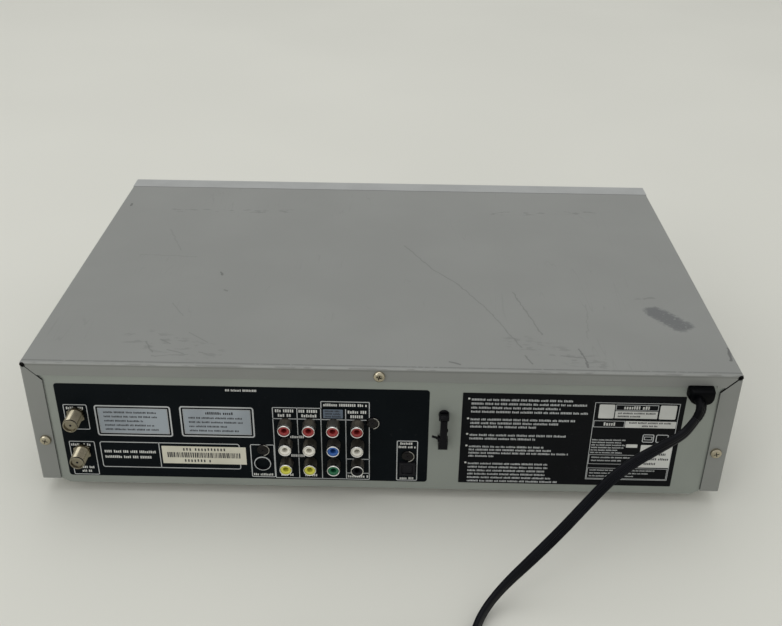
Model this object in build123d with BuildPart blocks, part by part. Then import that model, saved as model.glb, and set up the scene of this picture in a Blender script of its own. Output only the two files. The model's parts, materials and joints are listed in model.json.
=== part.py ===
from build123d import *
import math
import os

# A combined disc and cassette player, seen from the front: X runs to the right, Y to the
# back and Z up, in millimetres. The origin is on the floor, under the middle of the player
# without its cord.

# Overall sizes
width = 430.0
height = 98.0
cover_depth = 275.0
bezel_depth = 20.0
foot_height = 7.5
sheet = 0.8
front_proud = 2.0
antenna_proud = 12.5

# Clearances
seam = 0.3
loose = 0.3
running = 0.06

# Sides of the round pieces, from the smallest to the largest
least = 6
few = 8
some = 10
many = 16
most = 32

# Places that follow from the overall sizes
rear_y = (cover_depth + bezel_depth + front_proud - antenna_proud) / 2
seam_y = rear_y - cover_depth
face_y = seam_y - bezel_depth
panel_y = rear_y - sheet
inside_y = panel_y - sheet
floor_z = foot_height + sheet
roof_z = height - sheet

# Depth that the tape deck and the disc drive are placed from, behind the front's face
drive_y = face_y + 152.75

os.makedirs("parts", exist_ok=True)


def save(piece, name):
    """Labels a finished piece and writes it to its own file."""
    piece.label = name
    export_step(piece, f"parts/{name}.step")


def upright(y):
    """Sketch plane at depth y with X to the right and Z up; extruding goes to the front."""
    return Plane.XZ.offset(-y)


# Casing: top cover
cover_bottom = 10.7
cover_bend = 1.2
flange_top = 9.0
flange_side = 12.0
mitre_foot = 12.3
mitre_slit = 0.4
relief_radius = 1.5
relief_inset = 2.0
screw_hole = 1.7
side_screw_x = width / 2 - 7.0
side_screw_z = 41.0
top_screw_x = 0.5
top_screw_z = height - 5.2
flank_screw_z = 22.0
flank_screw_ys = (-70.0, 75.0)
grommet_x = 23.2 - width / 2
grommet_width = 16.8
grommet_top = height - 7.7
cover_drop = height - cover_bottom
window_half = width / 2 - flange_side
window_top = height - flange_top
mitre_x = window_half + (mitre_foot - flange_top) * (flange_side - relief_inset) / (mitre_foot - relief_inset)
rear_screws = [(-side_screw_x, side_screw_z), (side_screw_x, side_screw_z), (top_screw_x, top_screw_z)]

window_outline = [
    (-window_half, 0),
    (-window_half, height - mitre_foot),
    (-mitre_x, window_top),
    (mitre_x, window_top),
    (window_half, height - mitre_foot),
    (window_half, 0),
]

with BuildPart() as top_cover:
    with BuildSketch(Plane.XY.offset(cover_bottom)):
        with Locations((0, seam_y + cover_depth / 2)):
            Rectangle(width, cover_depth)
    extrude(amount=cover_drop)
    back = top_cover.faces().sort_by(Axis.Y)[-1]
    folds = top_cover.edges().filter_by(Axis.Y).group_by(Axis.Z)[-1]
    folds += back.edges().filter_by(Axis.Z)
    folds += back.edges().filter_by(Axis.X).sort_by(Axis.Z)[-1:]
    fillet(folds, cover_bend)
    open_sides = [top_cover.faces().sort_by(Axis.Y)[0], top_cover.faces().sort_by(Axis.Z)[0]]
    offset(amount=-sheet, openings=open_sides)
    with BuildSketch(upright(rear_y + sheet)):
        with BuildLine():
            Polyline(*window_outline, close=True)
        make_face()
        with Locations((grommet_x, grommet_top + loose)):
            Rectangle(grommet_width + 2 * loose, mitre_foot, align=(Align.CENTER, Align.MAX))
        with Locations(*rear_screws):
            RegularPolygon(screw_hole, few, major_radius=False)
        for side in (-1, 1):
            with Locations((side * (width / 2 - relief_inset), height - relief_inset)):
                RegularPolygon(relief_radius, few, major_radius=False)
            with Locations((side * (width / 2 - flange_side / 2), height - mitre_foot / 2)):
                Rectangle(flange_side * math.sqrt(2), mitre_slit, rotation=side * 45)
    extrude(amount=3 * sheet, mode=Mode.SUBTRACT)
    with BuildSketch(Plane.YZ.offset(-width)):
        with Locations(*[(y, flank_screw_z) for y in flank_screw_ys]):
            RegularPolygon(screw_hole, few, major_radius=False)
    extrude(amount=2 * width, mode=Mode.SUBTRACT)
save(top_cover.part, "top_cover")

# Casing: bottom pan, folded from one sheet
pan_floor_half = width / 2 - 17.0
pan_step_half = width / 2 - 10.2
pan_step_z = 11.5
pan_side_gap = 0.1
pan_side_top = 32.0
pan_front_lip = 16.0
vent_width = 3.0
vent_length = 20.0
vent_pitch_x = 9.0
vent_pitch_y = 28.0
vent_columns = 8
vent_rows = 2
boss_radius = 3.5
board_z = 14.0
board_thick = 1.6
bead_width = 8.0
bead_height = 1.6
bead_length = 150.0
bead_draft = 30.0
bead_x = 205.0 / 2
board_top = board_z + board_thick
pan_half = width / 2 - sheet - pan_side_gap

# Boards: outlines, needed early because the pan carries their bosses
board_side = 9.0
board_back_y = inside_y - 2.65
power_board_size = (160.0, 62.0)
main_board_depth = 82.0
boards_gap = 10.0
power_board_x = (board_side - width / 2, board_side - width / 2 + power_board_size[0])
power_board_y = (board_back_y - power_board_size[1], board_back_y)
main_board_x = (power_board_x[1] + boards_gap, width / 2 - board_side)
main_board_y = (board_back_y - main_board_depth, board_back_y)
boss_inset = 6.0


def corners(span_x, span_y, inset):
    """The four corners of a rectangle, brought in by an inset."""
    low_x, high_x = span_x[0] + inset, span_x[1] - inset
    low_y, high_y = span_y[0] + inset, span_y[1] - inset
    return [(low_x, low_y), (high_x, low_y), (low_x, high_y), (high_x, high_y)]


board_bosses = corners(main_board_x, main_board_y, boss_inset)
board_bosses += corners(power_board_x, power_board_y, boss_inset)
pan_outline = [
    (-pan_half, pan_side_top),
    (-pan_half, pan_step_z),
    (-pan_step_half, pan_step_z),
    (-pan_floor_half, foot_height),
    (pan_floor_half, foot_height),
    (pan_step_half, pan_step_z),
    (pan_half, pan_step_z),
    (pan_half, pan_side_top),
]
vent_centre = (70.0 - width / 2, drive_y - 20.0)

with BuildPart() as bottom_pan:
    with BuildSketch(upright(inside_y)):
        with BuildLine():
            Polyline(*pan_outline)
            offset(amount=sheet, side=Side.LEFT)
        make_face()
    extrude(amount=inside_y - seam_y + seam)
    with BuildSketch(upright(seam_y - seam)):
        with Locations((0, floor_z)):
            Rectangle(2 * pan_floor_half, pan_front_lip, align=(Align.CENTER, Align.MIN))
    extrude(amount=-sheet)
    with BuildSketch(Plane.XY.offset(floor_z)):
        with Locations(*board_bosses):
            RegularPolygon(boss_radius, least)
    extrude(amount=board_z - floor_z)
    with BuildSketch(Plane.XY.offset(floor_z)):
        with Locations((-bead_x, 0), (bead_x, 0)):
            Rectangle(bead_width, bead_length)
    extrude(amount=bead_height, taper=bead_draft)
    with BuildSketch(Plane.XY.offset(foot_height)):
        with Locations((-bead_x, 0), (bead_x, 0)):
            Rectangle(bead_width - 2 * sheet, bead_length - 2 * sheet)
    extrude(amount=bead_height, taper=bead_draft, mode=Mode.SUBTRACT)
    with BuildSketch(Plane.XY.offset(foot_height)):
        with Locations(vent_centre):
            with GridLocations(vent_pitch_x, vent_pitch_y, vent_columns, vent_rows):
                Rectangle(vent_width, vent_length)
    extrude(amount=sheet, mode=Mode.SUBTRACT)
    with BuildSketch(Plane.YZ.offset(-width)):
        with Locations(*[(y, flank_screw_z) for y in flank_screw_ys]):
            RegularPolygon(screw_hole, few, major_radius=False)
    extrude(amount=2 * width, mode=Mode.SUBTRACT)
save(bottom_pan.part, "bottom_pan")

# Feet
foot_radius = 17.0
foot_tip_radius = 15.5
foot_recess_radius = 9.0
foot_recess = 2.0
foot_x = width / 2 - 50.0
foot_y = cover_depth / 2 - 39.5

foot_places = [(x, y) for x in (-foot_x, foot_x) for y in (-foot_y, foot_y)]

with BuildPart() as feet:
    with BuildSketch():
        with Locations(*foot_places):
            RegularPolygon(foot_radius, many)
    extrude(amount=foot_height)
    chamfer(feet.faces().group_by(Axis.Z)[0].edges(), foot_radius - foot_tip_radius)
    with BuildSketch():
        with Locations(*foot_places):
            RegularPolygon(foot_recess_radius, some)
    extrude(amount=foot_recess, mode=Mode.SUBTRACT)
save(feet.part, "feet")

# Rear sockets: places and sizes that the panel shares
jack_columns = (58.1, 43.2, 28.5, 13.7)
jack_rows = (56.5, 41.8, 26.8)
jack_radius = 4.15
jack_wall = 0.6
jack_proud = 8.0
jack_hole_gap = 0.2
antenna_x = width / 2 - 28.7
antenna_zs = (60.5, 32.5)
antenna_radius = 4.75
svideo_x = 73.4
svideo_z = 26.2
svideo_radius = 5.3
svideo_proud = 1.0
optical_x = -17.4
optical_z = 24.0
optical_size = 10.0
optical_proud = 1.2
grommet_height = 10.2
grommet_neck_width = 12.8
grommet_neck_height = 7.0
clip_x = -39.0
clip_head_z = 65.2
clip_foot_z = 45.8
clip_hole = 3.6
panel_screw_places = [(4.5, 58.4), (72.9, 36.3), (-17.5, 33.6)]
grommet_z = grommet_top - grommet_height / 2
jack_places = [(x, z) for x in jack_columns for z in jack_rows]

# Casing: rear panel
panel_edge_gap = cover_bend - sheet + 0.1
panel_side = width / 2 - sheet - panel_edge_gap
panel_top = roof_z - panel_edge_gap
panel_outline = [
    (-pan_floor_half, foot_height),
    (pan_floor_half, foot_height),
    (pan_step_half, pan_step_z),
    (panel_side, pan_step_z),
    (panel_side, panel_top),
    (-panel_side, panel_top),
    (-panel_side, pan_step_z),
    (-pan_step_half, pan_step_z),
]

with BuildPart() as rear_panel:
    with BuildSketch(upright(panel_y)):
        with BuildLine():
            Polyline(*panel_outline, close=True)
        make_face()
        with Locations(*jack_places):
            RegularPolygon(jack_radius + jack_hole_gap, some, major_radius=False, mode=Mode.SUBTRACT)
        with Locations(*[(antenna_x, z) for z in antenna_zs]):
            RegularPolygon(antenna_radius + loose, some, major_radius=False, mode=Mode.SUBTRACT)
        with Locations((svideo_x, svideo_z)):
            RegularPolygon(svideo_radius + jack_hole_gap, some, major_radius=False, mode=Mode.SUBTRACT)
        with Locations((optical_x, optical_z)):
            Rectangle(optical_size + loose, optical_size + loose, mode=Mode.SUBTRACT)
        with Locations((grommet_x, grommet_z)):
            Rectangle(grommet_neck_width + loose, grommet_neck_height + loose, mode=Mode.SUBTRACT)
        with Locations((clip_x, clip_head_z), (clip_x, clip_foot_z)):
            Rectangle(clip_hole, clip_hole, mode=Mode.SUBTRACT)
        with Locations(*rear_screws, *panel_screw_places):
            RegularPolygon(screw_hole, few, major_radius=False, mode=Mode.SUBTRACT)
    extrude(amount=sheet)
save(rear_panel.part, "rear_panel")

# Screws
screw_shank = 1.5
screw_length = 7.0
cover_head_radius = 3.5
cover_head_height = 2.0
cover_head_dome = 1.0
panel_head_radius = 3.9
panel_head_height = 1.4
panel_head_dome = 0.7


def screw(head_radius, head_height, dome):
    """A screw that stands on Z, head upwards, with the underside of its head at zero."""
    with BuildPart() as one:
        with BuildSketch():
            RegularPolygon(head_radius, few, major_radius=False)
        extrude(amount=head_height)
        chamfer(one.faces().sort_by(Axis.Z)[-1].edges(), dome)
        with BuildSketch():
            RegularPolygon(screw_shank, least)
        extrude(amount=-screw_length)
    return one.part


with BuildPart() as cover_screws:
    cover_screw = screw(cover_head_radius, cover_head_height, cover_head_dome)
    rear_seats = [Location((x, rear_y, z), (-90, 0, 0)) for x, z in rear_screws]
    right_seats = [Location((width / 2, y, flank_screw_z), (0, 90, 0)) for y in flank_screw_ys]
    left_seats = [Location((-width / 2, y, flank_screw_z), (0, -90, 0)) for y in flank_screw_ys]
    with Locations(*rear_seats, *right_seats, *left_seats):
        add(cover_screw)
save(cover_screws.part, "cover_screws")

with BuildPart() as panel_screws:
    panel_screw = screw(panel_head_radius, panel_head_height, panel_head_dome)
    with Locations(*[Location((x, panel_y, z), (-90, 0, 0)) for x, z in panel_screw_places]):
        add(panel_screw)
save(panel_screws.part, "panel_screws")

# Tuner with its two threaded antenna sockets
tuner_width = 36.0
tuner_depth = 26.0
tuner_top = 78.0
tuner_corner = 1.5
antenna_nut = 5.8
antenna_nut_thick = 2.0
antenna_bore = 3.6
antenna_bore_depth = 1.2
antenna_contact = 0.7
antenna_contact_depth = 6.0
antenna_tip_y = rear_y + antenna_proud
antenna_places = [(antenna_x, z) for z in antenna_zs]

with BuildPart() as tuner_can:
    with BuildSketch(Plane.XY.offset(board_top)):
        with Locations((antenna_x, inside_y - tuner_depth / 2)):
            Rectangle(tuner_width, tuner_depth)
    extrude(amount=tuner_top - board_top)
    chamfer(tuner_can.edges().filter_by(Axis.Z), tuner_corner)
    chamfer(tuner_can.faces().sort_by(Axis.Z)[-1].edges(), sheet)
save(tuner_can.part, "tuner_can")

with BuildPart() as antenna_sockets:
    with BuildSketch(upright(inside_y)):
        with Locations(*antenna_places):
            RegularPolygon(antenna_radius, some, major_radius=False)
    extrude(amount=inside_y - antenna_tip_y)
    with BuildSketch(upright(panel_y)):
        with Locations(*antenna_places):
            RegularPolygon(antenna_nut, least, major_radius=False)
    extrude(amount=-antenna_nut_thick)
    with BuildSketch(upright(antenna_tip_y)):
        with Locations(*antenna_places):
            RegularPolygon(antenna_bore, some, major_radius=False)
    extrude(amount=antenna_bore_depth, mode=Mode.SUBTRACT)
    with BuildSketch(upright(antenna_tip_y)):
        with Locations(*antenna_places):
            RegularPolygon(antenna_contact, least)
    extrude(amount=antenna_contact_depth, mode=Mode.SUBTRACT)
save(antenna_sockets.part, "antenna_sockets")

# Rear jack bank: moulded block, metal shells and coloured inserts
block_x = (-1.0, 66.0)
block_top = 64.5
block_depth = 20.0
block_slope = 8.0
insert_gap = 0.05
insert_bore = 1.7
insert_bore_depth = 10.0
insert_recess = 0.6
coaxial_recess = 3.0
jack_tip_y = rear_y + jack_proud
insert_radius = jack_radius - jack_wall - insert_gap

# Jacks that share the front: three in a bay low on the left
bay_x = 65.0 - width / 2
bay_z = 24.0
bay_width = 50.0
bay_height = 15.0
bay_wall = 2.0
bay_pitch = 15.0
bezel_wall = 2.5
front_board_y = face_y + 13.25
bay_floor_y = front_board_y - bay_wall
front_jack_tip_y = face_y + 1.0

insert_colours = {
    "red_jack_rings": [(0, 0), (1, 0), (2, 0), (3, 0)],
    "white_jack_rings": [(0, 1), (1, 1), (3, 1)],
    "yellow_jack_rings": [(0, 2), (1, 2)],
    "blue_jack_ring": [(2, 1)],
    "green_jack_ring": [(2, 2)],
}
front_inserts = {
    "red_jack_rings": bay_x + bay_pitch,
    "white_jack_rings": bay_x,
    "yellow_jack_rings": bay_x - bay_pitch,
}

with BuildPart() as jack_block:
    with BuildSketch(Plane.XY.offset(board_top)):
        with Locations((sum(block_x) / 2, inside_y - block_depth / 2)):
            Rectangle(block_x[1] - block_x[0], block_depth)
    extrude(amount=block_top - board_top)
    chamfer(jack_block.faces().sort_by(Axis.Z)[-1].edges().filter_by(Axis.X).sort_by(Axis.Y)[0], block_slope)
    with BuildSketch(upright(inside_y)):
        with Locations((jack_columns[3], jack_rows[2])):
            RegularPolygon(insert_radius, some, major_radius=False)
    extrude(amount=inside_y - jack_tip_y + coaxial_recess)
    with BuildSketch(upright(jack_tip_y)):
        with Locations((jack_columns[3], jack_rows[2])):
            RegularPolygon(insert_bore, few)
    extrude(amount=insert_bore_depth, mode=Mode.SUBTRACT)
    with BuildSketch(upright(inside_y)):
        with Locations(panel_screw_places[0]):
            RegularPolygon(screw_shank + insert_gap, few, major_radius=False)
    extrude(amount=screw_length, mode=Mode.SUBTRACT)
save(jack_block.part, "jack_block")

with BuildPart() as jack_shells:
    with BuildSketch(upright(inside_y)):
        with Locations(*jack_places):
            RegularPolygon(jack_radius, some, major_radius=False)
            RegularPolygon(jack_radius - jack_wall, some, major_radius=False, mode=Mode.SUBTRACT)
    extrude(amount=inside_y - jack_tip_y)
    with BuildSketch(upright(bay_floor_y)):
        with Locations(*[(x, bay_z) for x in front_inserts.values()]):
            RegularPolygon(jack_radius, some, major_radius=False)
            RegularPolygon(jack_radius - jack_wall, some, major_radius=False, mode=Mode.SUBTRACT)
    extrude(amount=bay_floor_y - front_jack_tip_y)
save(jack_shells.part, "jack_shells")

for name, cells in insert_colours.items():
    places = [(jack_columns[column], jack_rows[row]) for column, row in cells]
    with BuildPart() as inserts:
        with BuildSketch(upright(inside_y)):
            with Locations(*places):
                RegularPolygon(insert_radius, some, major_radius=False)
        extrude(amount=inside_y - jack_tip_y + insert_recess)
        with BuildSketch(upright(jack_tip_y - insert_recess)):
            with Locations(*places):
                RegularPolygon(insert_bore, few)
        extrude(amount=insert_bore_depth, mode=Mode.SUBTRACT)
        if name in front_inserts:
            with BuildSketch(upright(bay_floor_y)):
                with Locations((front_inserts[name], bay_z)):
                    RegularPolygon(insert_radius, some, major_radius=False)
                    RegularPolygon(insert_bore, few, mode=Mode.SUBTRACT)
            extrude(amount=bay_floor_y - front_jack_tip_y - insert_recess)
    save(inserts.part, name)

# S-video socket: a block behind the panel and a round keyed face
svideo_block = 12.6
svideo_block_top = 41.0
svideo_face_recess = 3.0
svideo_ring = 0.7
svideo_key = (2.4, 1.4)

with BuildPart() as svideo_socket:
    with BuildSketch(Plane.XY.offset(board_top)):
        with Locations((svideo_x, inside_y - svideo_block / 2)):
            Rectangle(svideo_block, svideo_block)
    extrude(amount=svideo_block_top - board_top)
    with BuildSketch(upright(inside_y)):
        with Locations((svideo_x, svideo_z)):
            RegularPolygon(svideo_radius, some, major_radius=False)
    extrude(amount=inside_y - rear_y - svideo_proud)
    with BuildSketch(upright(rear_y + svideo_proud)):
        with Locations((svideo_x, svideo_z)):
            RegularPolygon(svideo_radius - svideo_ring, some, major_radius=False)
            with Locations((0, svideo_radius - svideo_ring - svideo_key[1] / 2)):
                Rectangle(*svideo_key, mode=Mode.SUBTRACT)
    extrude(amount=svideo_face_recess, mode=Mode.SUBTRACT)
    with BuildSketch(upright(inside_y)):
        with Locations(panel_screw_places[1]):
            RegularPolygon(screw_shank + insert_gap, few, major_radius=False)
    extrude(amount=screw_length, mode=Mode.SUBTRACT)
save(svideo_socket.part, "svideo_socket")

# Optical socket with a flap that the plug pushes inwards
optical_block_width = 13.0
optical_block_depth = 16.0
optical_block_top = 39.0
optical_bore = 7.0
optical_bore_depth = 10.0
shutter_thick = 0.8
shutter_pin = 0.5
shutter_inset = 0.6
shutter_bevel = 0.36
shutter_edge = 1.2
shutter_pin_reach = 0.8
optical_face_y = rear_y + optical_proud
optical_pivot_z = optical_z + optical_bore / 2 - shutter_edge
shutter_y = optical_face_y - shutter_inset

with BuildPart() as optical_socket:
    with BuildSketch(Plane.XY.offset(board_top)):
        with Locations((optical_x, inside_y - optical_block_depth / 2)):
            Rectangle(optical_block_width, optical_block_depth)
    extrude(amount=optical_block_top - board_top)
    with BuildSketch(upright(inside_y)):
        with Locations((optical_x, optical_z)):
            Rectangle(optical_size, optical_size)
    extrude(amount=inside_y - optical_face_y)
    with BuildSketch(upright(optical_face_y)):
        with Locations((optical_x, optical_z)):
            Rectangle(optical_bore, optical_bore)
    extrude(amount=optical_bore_depth, mode=Mode.SUBTRACT)
    with BuildSketch(Plane.YZ.offset(optical_x)):
        with Locations((shutter_y - shutter_thick / 2, optical_pivot_z)):
            RegularPolygon(shutter_pin + running, few, major_radius=False)
    extrude(amount=optical_bore / 2 + shutter_pin_reach + jack_hole_gap, both=True, mode=Mode.SUBTRACT)
    with BuildSketch(upright(inside_y)):
        with Locations(panel_screw_places[2]):
            RegularPolygon(screw_shank + insert_gap, few, major_radius=False)
    extrude(amount=screw_length, mode=Mode.SUBTRACT)
save(optical_socket.part, "optical_socket")

with BuildPart() as optical_shutter:
    with BuildSketch(upright(shutter_y)):
        with Locations((optical_x, optical_z)):
            Rectangle(optical_bore - 2 * loose, optical_bore - 2 * loose)
    extrude(amount=shutter_thick)
    rim = optical_shutter.edges().filter_by(Axis.X).group_by(Axis.Z)[-1]
    chamfer(rim, shutter_bevel)
    with BuildSketch(Plane.YZ.offset(optical_x)):
        with Locations((shutter_y - shutter_thick / 2, optical_pivot_z)):
            RegularPolygon(shutter_pin, few)
    extrude(amount=optical_bore / 2 + shutter_pin_reach, both=True)
save(optical_shutter.part, "optical_shutter")

# Disc and cassette, which the tray and the basket of sheet metal are made for
disc_radius = 60.4
tray_edge = 4.6
tray_half = disc_radius + tray_edge
cassette_width = 188.0
cassette_gap = 0.25
basket_sheet = 1.0
basket_half = cassette_width / 2 + cassette_gap + basket_sheet

# Front: places of everything that comes through the bezel
power_x = 15.0 - width / 2
power_z = 74.0
power_radius = 8.0
tray_front_width = 2 * (tray_half + 3.0)
disc_x = power_x + 17.0 + tray_front_width / 2
door_width = 2 * (basket_half + 2.75)
deck_x = width / 2 - 17.0 - door_width / 2
door_height = 31.0
door_z = 69.5
door_gap = 0.4
tray_bottom = 66.0
rack_height = 3.2
rack_skirt = 0.6
tray_front_rise = 16.2
tray_front_thick = 4.0
tray_front_height = tray_front_rise + rack_height + rack_skirt
tray_front_z = tray_bottom + tray_front_rise - tray_front_height / 2
tray_front_gap = 0.4
glass_width = 120.0
glass_height = 16.0
glass_z = 48.0
glass_gap = 0.1
glass_lip = 2.0
glass_lip_thick = 1.0
key_travel = 0.8
key_lip = 1.2
key_lip_thick = 1.2
key_proud = 1.2
key_stem = 3.6
key_bevel = 0.6
tape_key_size = (22.0, 8.0)
disc_key_size = (14.0, 7.0)
tape_key_z = 34.0
disc_key_z = 28.0
rocker_x = width / 2 - 27.0
rocker_z = 34.0
rocker_width = 12.0
rocker_height = 21.4
rocker_proud = 1.4
rocker_pin = 1.0
rocker_pin_length = 2.2
rocker_back = 0.8
lug_thick = 2.6
lug_depth = 3.5
lug_half = 2.4
door_pin = 1.1
door_pin_drop = 1.6
door_pin_length = 2.4
door_thick = 2.5
door_ear = 2.5
door_ear_half = 1.5
pivot_back = 1.3

tape_keys = {
    "eject_button": deck_x - 70.0,
    "rewind_button": deck_x - 38.0,
    "play_button": deck_x - 6.0,
    "forward_button": deck_x + 26.0,
    "record_button": deck_x + 58.0,
}
disc_keys = {
    "disc_open_button": disc_x + 51.0,
    "disc_play_button": disc_x + 31.0,
    "disc_stop_button": disc_x + 11.0,
}
keys = {name: (x, tape_key_z, *tape_key_size) for name, x in tape_keys.items()}
keys |= {name: (x, disc_key_z, *disc_key_size) for name, x in disc_keys.items()}
wall_y = face_y + bezel_wall
pivot_y = wall_y + pivot_back
door_pivot_z = door_z + door_height / 2 - door_pin_drop
rocker_pivot_y = wall_y + rocker_pin + rocker_back

# Front bezel: a moulded shell, open at the back
bezel_corner = 3.5
bezel_top_round = 5.5
bezel_bottom_bevel = 2.5
post_radius = 2.5
post_x = width / 2 - 15.0
post_low = 18.0
post_high = 56.0
middle_post = (disc_x + 103.0, 40.0)
post_places = [(-post_x, post_low), (post_x, post_low), middle_post, (-post_x, post_high)]


# Lugs behind the bezel wall: middle, half gap, pin depth, pin height and bore of each pair
lug_pairs = [
    (deck_x, door_width / 2 + door_gap, pivot_y, door_pivot_z, door_pin + running),
    (rocker_x, rocker_width / 2 + loose, rocker_pivot_y, rocker_z, rocker_pin + running),
]

with BuildPart() as front_bezel:
    with BuildSketch(Plane.XY.offset(foot_height)):
        with Locations((0, face_y)):
            Rectangle(width, bezel_depth - seam, align=(Align.CENTER, Align.MIN))
    extrude(amount=height - foot_height)
    front = front_bezel.faces().sort_by(Axis.Y)[0]
    chamfer(front.edges().filter_by(Axis.Z), bezel_corner)
    front = front_bezel.faces().sort_by(Axis.Y)[0]
    fillet(front.edges().sort_by(Axis.Z)[-1], bezel_top_round)
    front = front_bezel.faces().sort_by(Axis.Y)[0]
    chamfer(front.edges().sort_by(Axis.Z)[0], bezel_bottom_bevel)
    offset(amount=-bezel_wall, openings=front_bezel.faces().sort_by(Axis.Y)[-1])
    with BuildSketch(upright(front_board_y)):
        with Locations((bay_x, bay_z)):
            Rectangle(bay_width + 2 * bay_wall, bay_height + 2 * bay_wall)
        with Locations(*post_places):
            RegularPolygon(post_radius, least)
    extrude(amount=front_board_y - wall_y)
    with BuildSketch(upright(bay_floor_y)):
        with Locations((bay_x, bay_z)):
            Rectangle(bay_width, bay_height)
    extrude(amount=bay_floor_y - face_y, mode=Mode.SUBTRACT)
    with BuildSketch(upright(wall_y)):
        with Locations((deck_x, door_z)):
            Rectangle(door_width + 2 * door_gap, door_height + 2 * door_gap)
        with Locations((disc_x, tray_front_z)):
            Rectangle(tray_front_width + 2 * tray_front_gap, tray_front_height + 2 * tray_front_gap)
        with Locations((disc_x, glass_z)):
            Rectangle(glass_width + 2 * glass_gap, glass_height + 2 * glass_gap)
        with Locations((power_x, power_z)):
            RegularPolygon(power_radius + loose, many, major_radius=False)
        with Locations((rocker_x, rocker_z)):
            Rectangle(rocker_width + 2 * loose, rocker_height + 4 * loose)
        for x, z, wide, tall in keys.values():
            with Locations((x, z)):
                Rectangle(wide + 2 * loose, tall + 2 * loose)
    extrude(amount=bezel_wall, mode=Mode.SUBTRACT)
    for x, half_gap, y, z, bore in lug_pairs:
        for side in (-1, 1):
            with BuildSketch(Plane.YZ.offset(x + side * half_gap)):
                with Locations((wall_y + lug_depth / 2, z)):
                    Rectangle(lug_depth, 2 * lug_half)
                with Locations((y, z)):
                    RegularPolygon(bore, few, major_radius=False, mode=Mode.SUBTRACT)
            extrude(amount=side * lug_thick)
save(front_bezel.part, "front_bezel")

# Smoked window in front of the display
with BuildPart() as display_window:
    with BuildSketch(upright(wall_y)):
        with Locations((disc_x, glass_z)):
            Rectangle(glass_width, glass_height)
    extrude(amount=bezel_wall)
    with BuildSketch(upright(wall_y)):
        with Locations((disc_x, glass_z)):
            Rectangle(glass_width + 2 * glass_lip, glass_height + 2 * glass_lip)
    extrude(amount=-glass_lip_thick)
save(display_window.part, "display_window")

# Cassette door: hinged along its top edge, it swings inwards
with BuildPart() as cassette_door:
    with BuildSketch(upright(wall_y)):
        with Locations((deck_x, door_z)):
            Rectangle(door_width, door_height)
    extrude(amount=door_thick)
    with BuildSketch(Plane.YZ.offset(deck_x - door_width / 2)):
        with Locations((wall_y, door_pivot_z)):
            Rectangle(pivot_back + door_pin, 2 * door_ear_half, align=(Align.MIN, Align.CENTER))
    extrude(amount=door_ear)
    with BuildSketch(Plane.YZ.offset(deck_x + door_width / 2)):
        with Locations((wall_y, door_pivot_z)):
            Rectangle(pivot_back + door_pin, 2 * door_ear_half, align=(Align.MIN, Align.CENTER))
    extrude(amount=-door_ear)
    with BuildSketch(Plane.YZ.offset(deck_x - door_width / 2 - door_pin_length)):
        with Locations((pivot_y, door_pivot_z)):
            RegularPolygon(door_pin, few)
    extrude(amount=door_pin_length + door_ear)
    with BuildSketch(Plane.YZ.offset(deck_x + door_width / 2 + door_pin_length)):
        with Locations((pivot_y, door_pivot_z)):
            RegularPolygon(door_pin, few)
    extrude(amount=-door_pin_length - door_ear)
save(cassette_door.part, "cassette_door")

# Front board: one outline with its switches and its display tube
board_half = width / 2 - 8.0
display_side_x = disc_x + 77.0
power_side_x = power_x + 12.0
board_low = 12.0
keys_board_top = 46.0
display_board_top = 60.0
power_board_top = 84.0
board_outline = [
    (-board_half, board_low),
    (board_half, board_low),
    (board_half, keys_board_top),
    (display_side_x, keys_board_top),
    (display_side_x, display_board_top),
    (power_side_x, display_board_top),
    (power_side_x, power_board_top),
    (-board_half, power_board_top),
]
switch_size = 6.0
switch_height = 3.5
plunger_size = 3.2
plunger_height = 0.8
rocker_switch_rise = 7.0
display_size = (110.0, 14.0, 5.0)
switch_top_y = front_board_y - switch_height - plunger_height
stem_end_y = switch_top_y - key_travel - loose
switch_places = [(x, z) for x, z, wide, tall in keys.values()]
switch_places += [(power_x, power_z)]
switch_places += [(rocker_x, rocker_z - rocker_switch_rise), (rocker_x, rocker_z + rocker_switch_rise)]

with BuildPart() as front_board:
    with BuildSketch(upright(front_board_y)):
        with BuildLine():
            Polyline(*board_outline, close=True)
        make_face()
    extrude(amount=-board_thick)
    with BuildSketch(upright(front_board_y)):
        with Locations(*switch_places):
            Rectangle(switch_size, switch_size)
    extrude(amount=switch_height)
    with BuildSketch(upright(front_board_y)):
        with Locations(*switch_places):
            Rectangle(plunger_size, plunger_size)
    extrude(amount=switch_height + plunger_height)
    with BuildSketch(upright(front_board_y)):
        with Locations((disc_x, glass_z)):
            Rectangle(display_size[0], display_size[1])
    extrude(amount=display_size[2])
save(front_board.part, "front_board")

# Front keys: a cap, a lip behind the bezel wall and a stem towards the switch
lip_y = wall_y + loose


def push_key(x, z, wide, tall, proud):
    """A rectangular key that stands in its hole in the bezel."""
    with BuildPart() as key:
        with BuildSketch(upright(lip_y)):
            with Locations((x, z)):
                Rectangle(wide, tall)
        extrude(amount=lip_y - face_y + proud)
        chamfer(key.faces().sort_by(Axis.Y)[0].edges(), key_bevel)
        with BuildSketch(upright(lip_y)):
            with Locations((x, z)):
                Rectangle(wide + 2 * key_lip, tall + 2 * key_lip)
        extrude(amount=-key_lip_thick)
        with BuildSketch(upright(lip_y)):
            with Locations((x, z)):
                Rectangle(key_stem, key_stem)
        extrude(amount=lip_y - stem_end_y)
    return key.part


for name, (x, z, wide, tall) in keys.items():
    save(push_key(x, z, wide, tall, key_proud), name)

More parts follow.
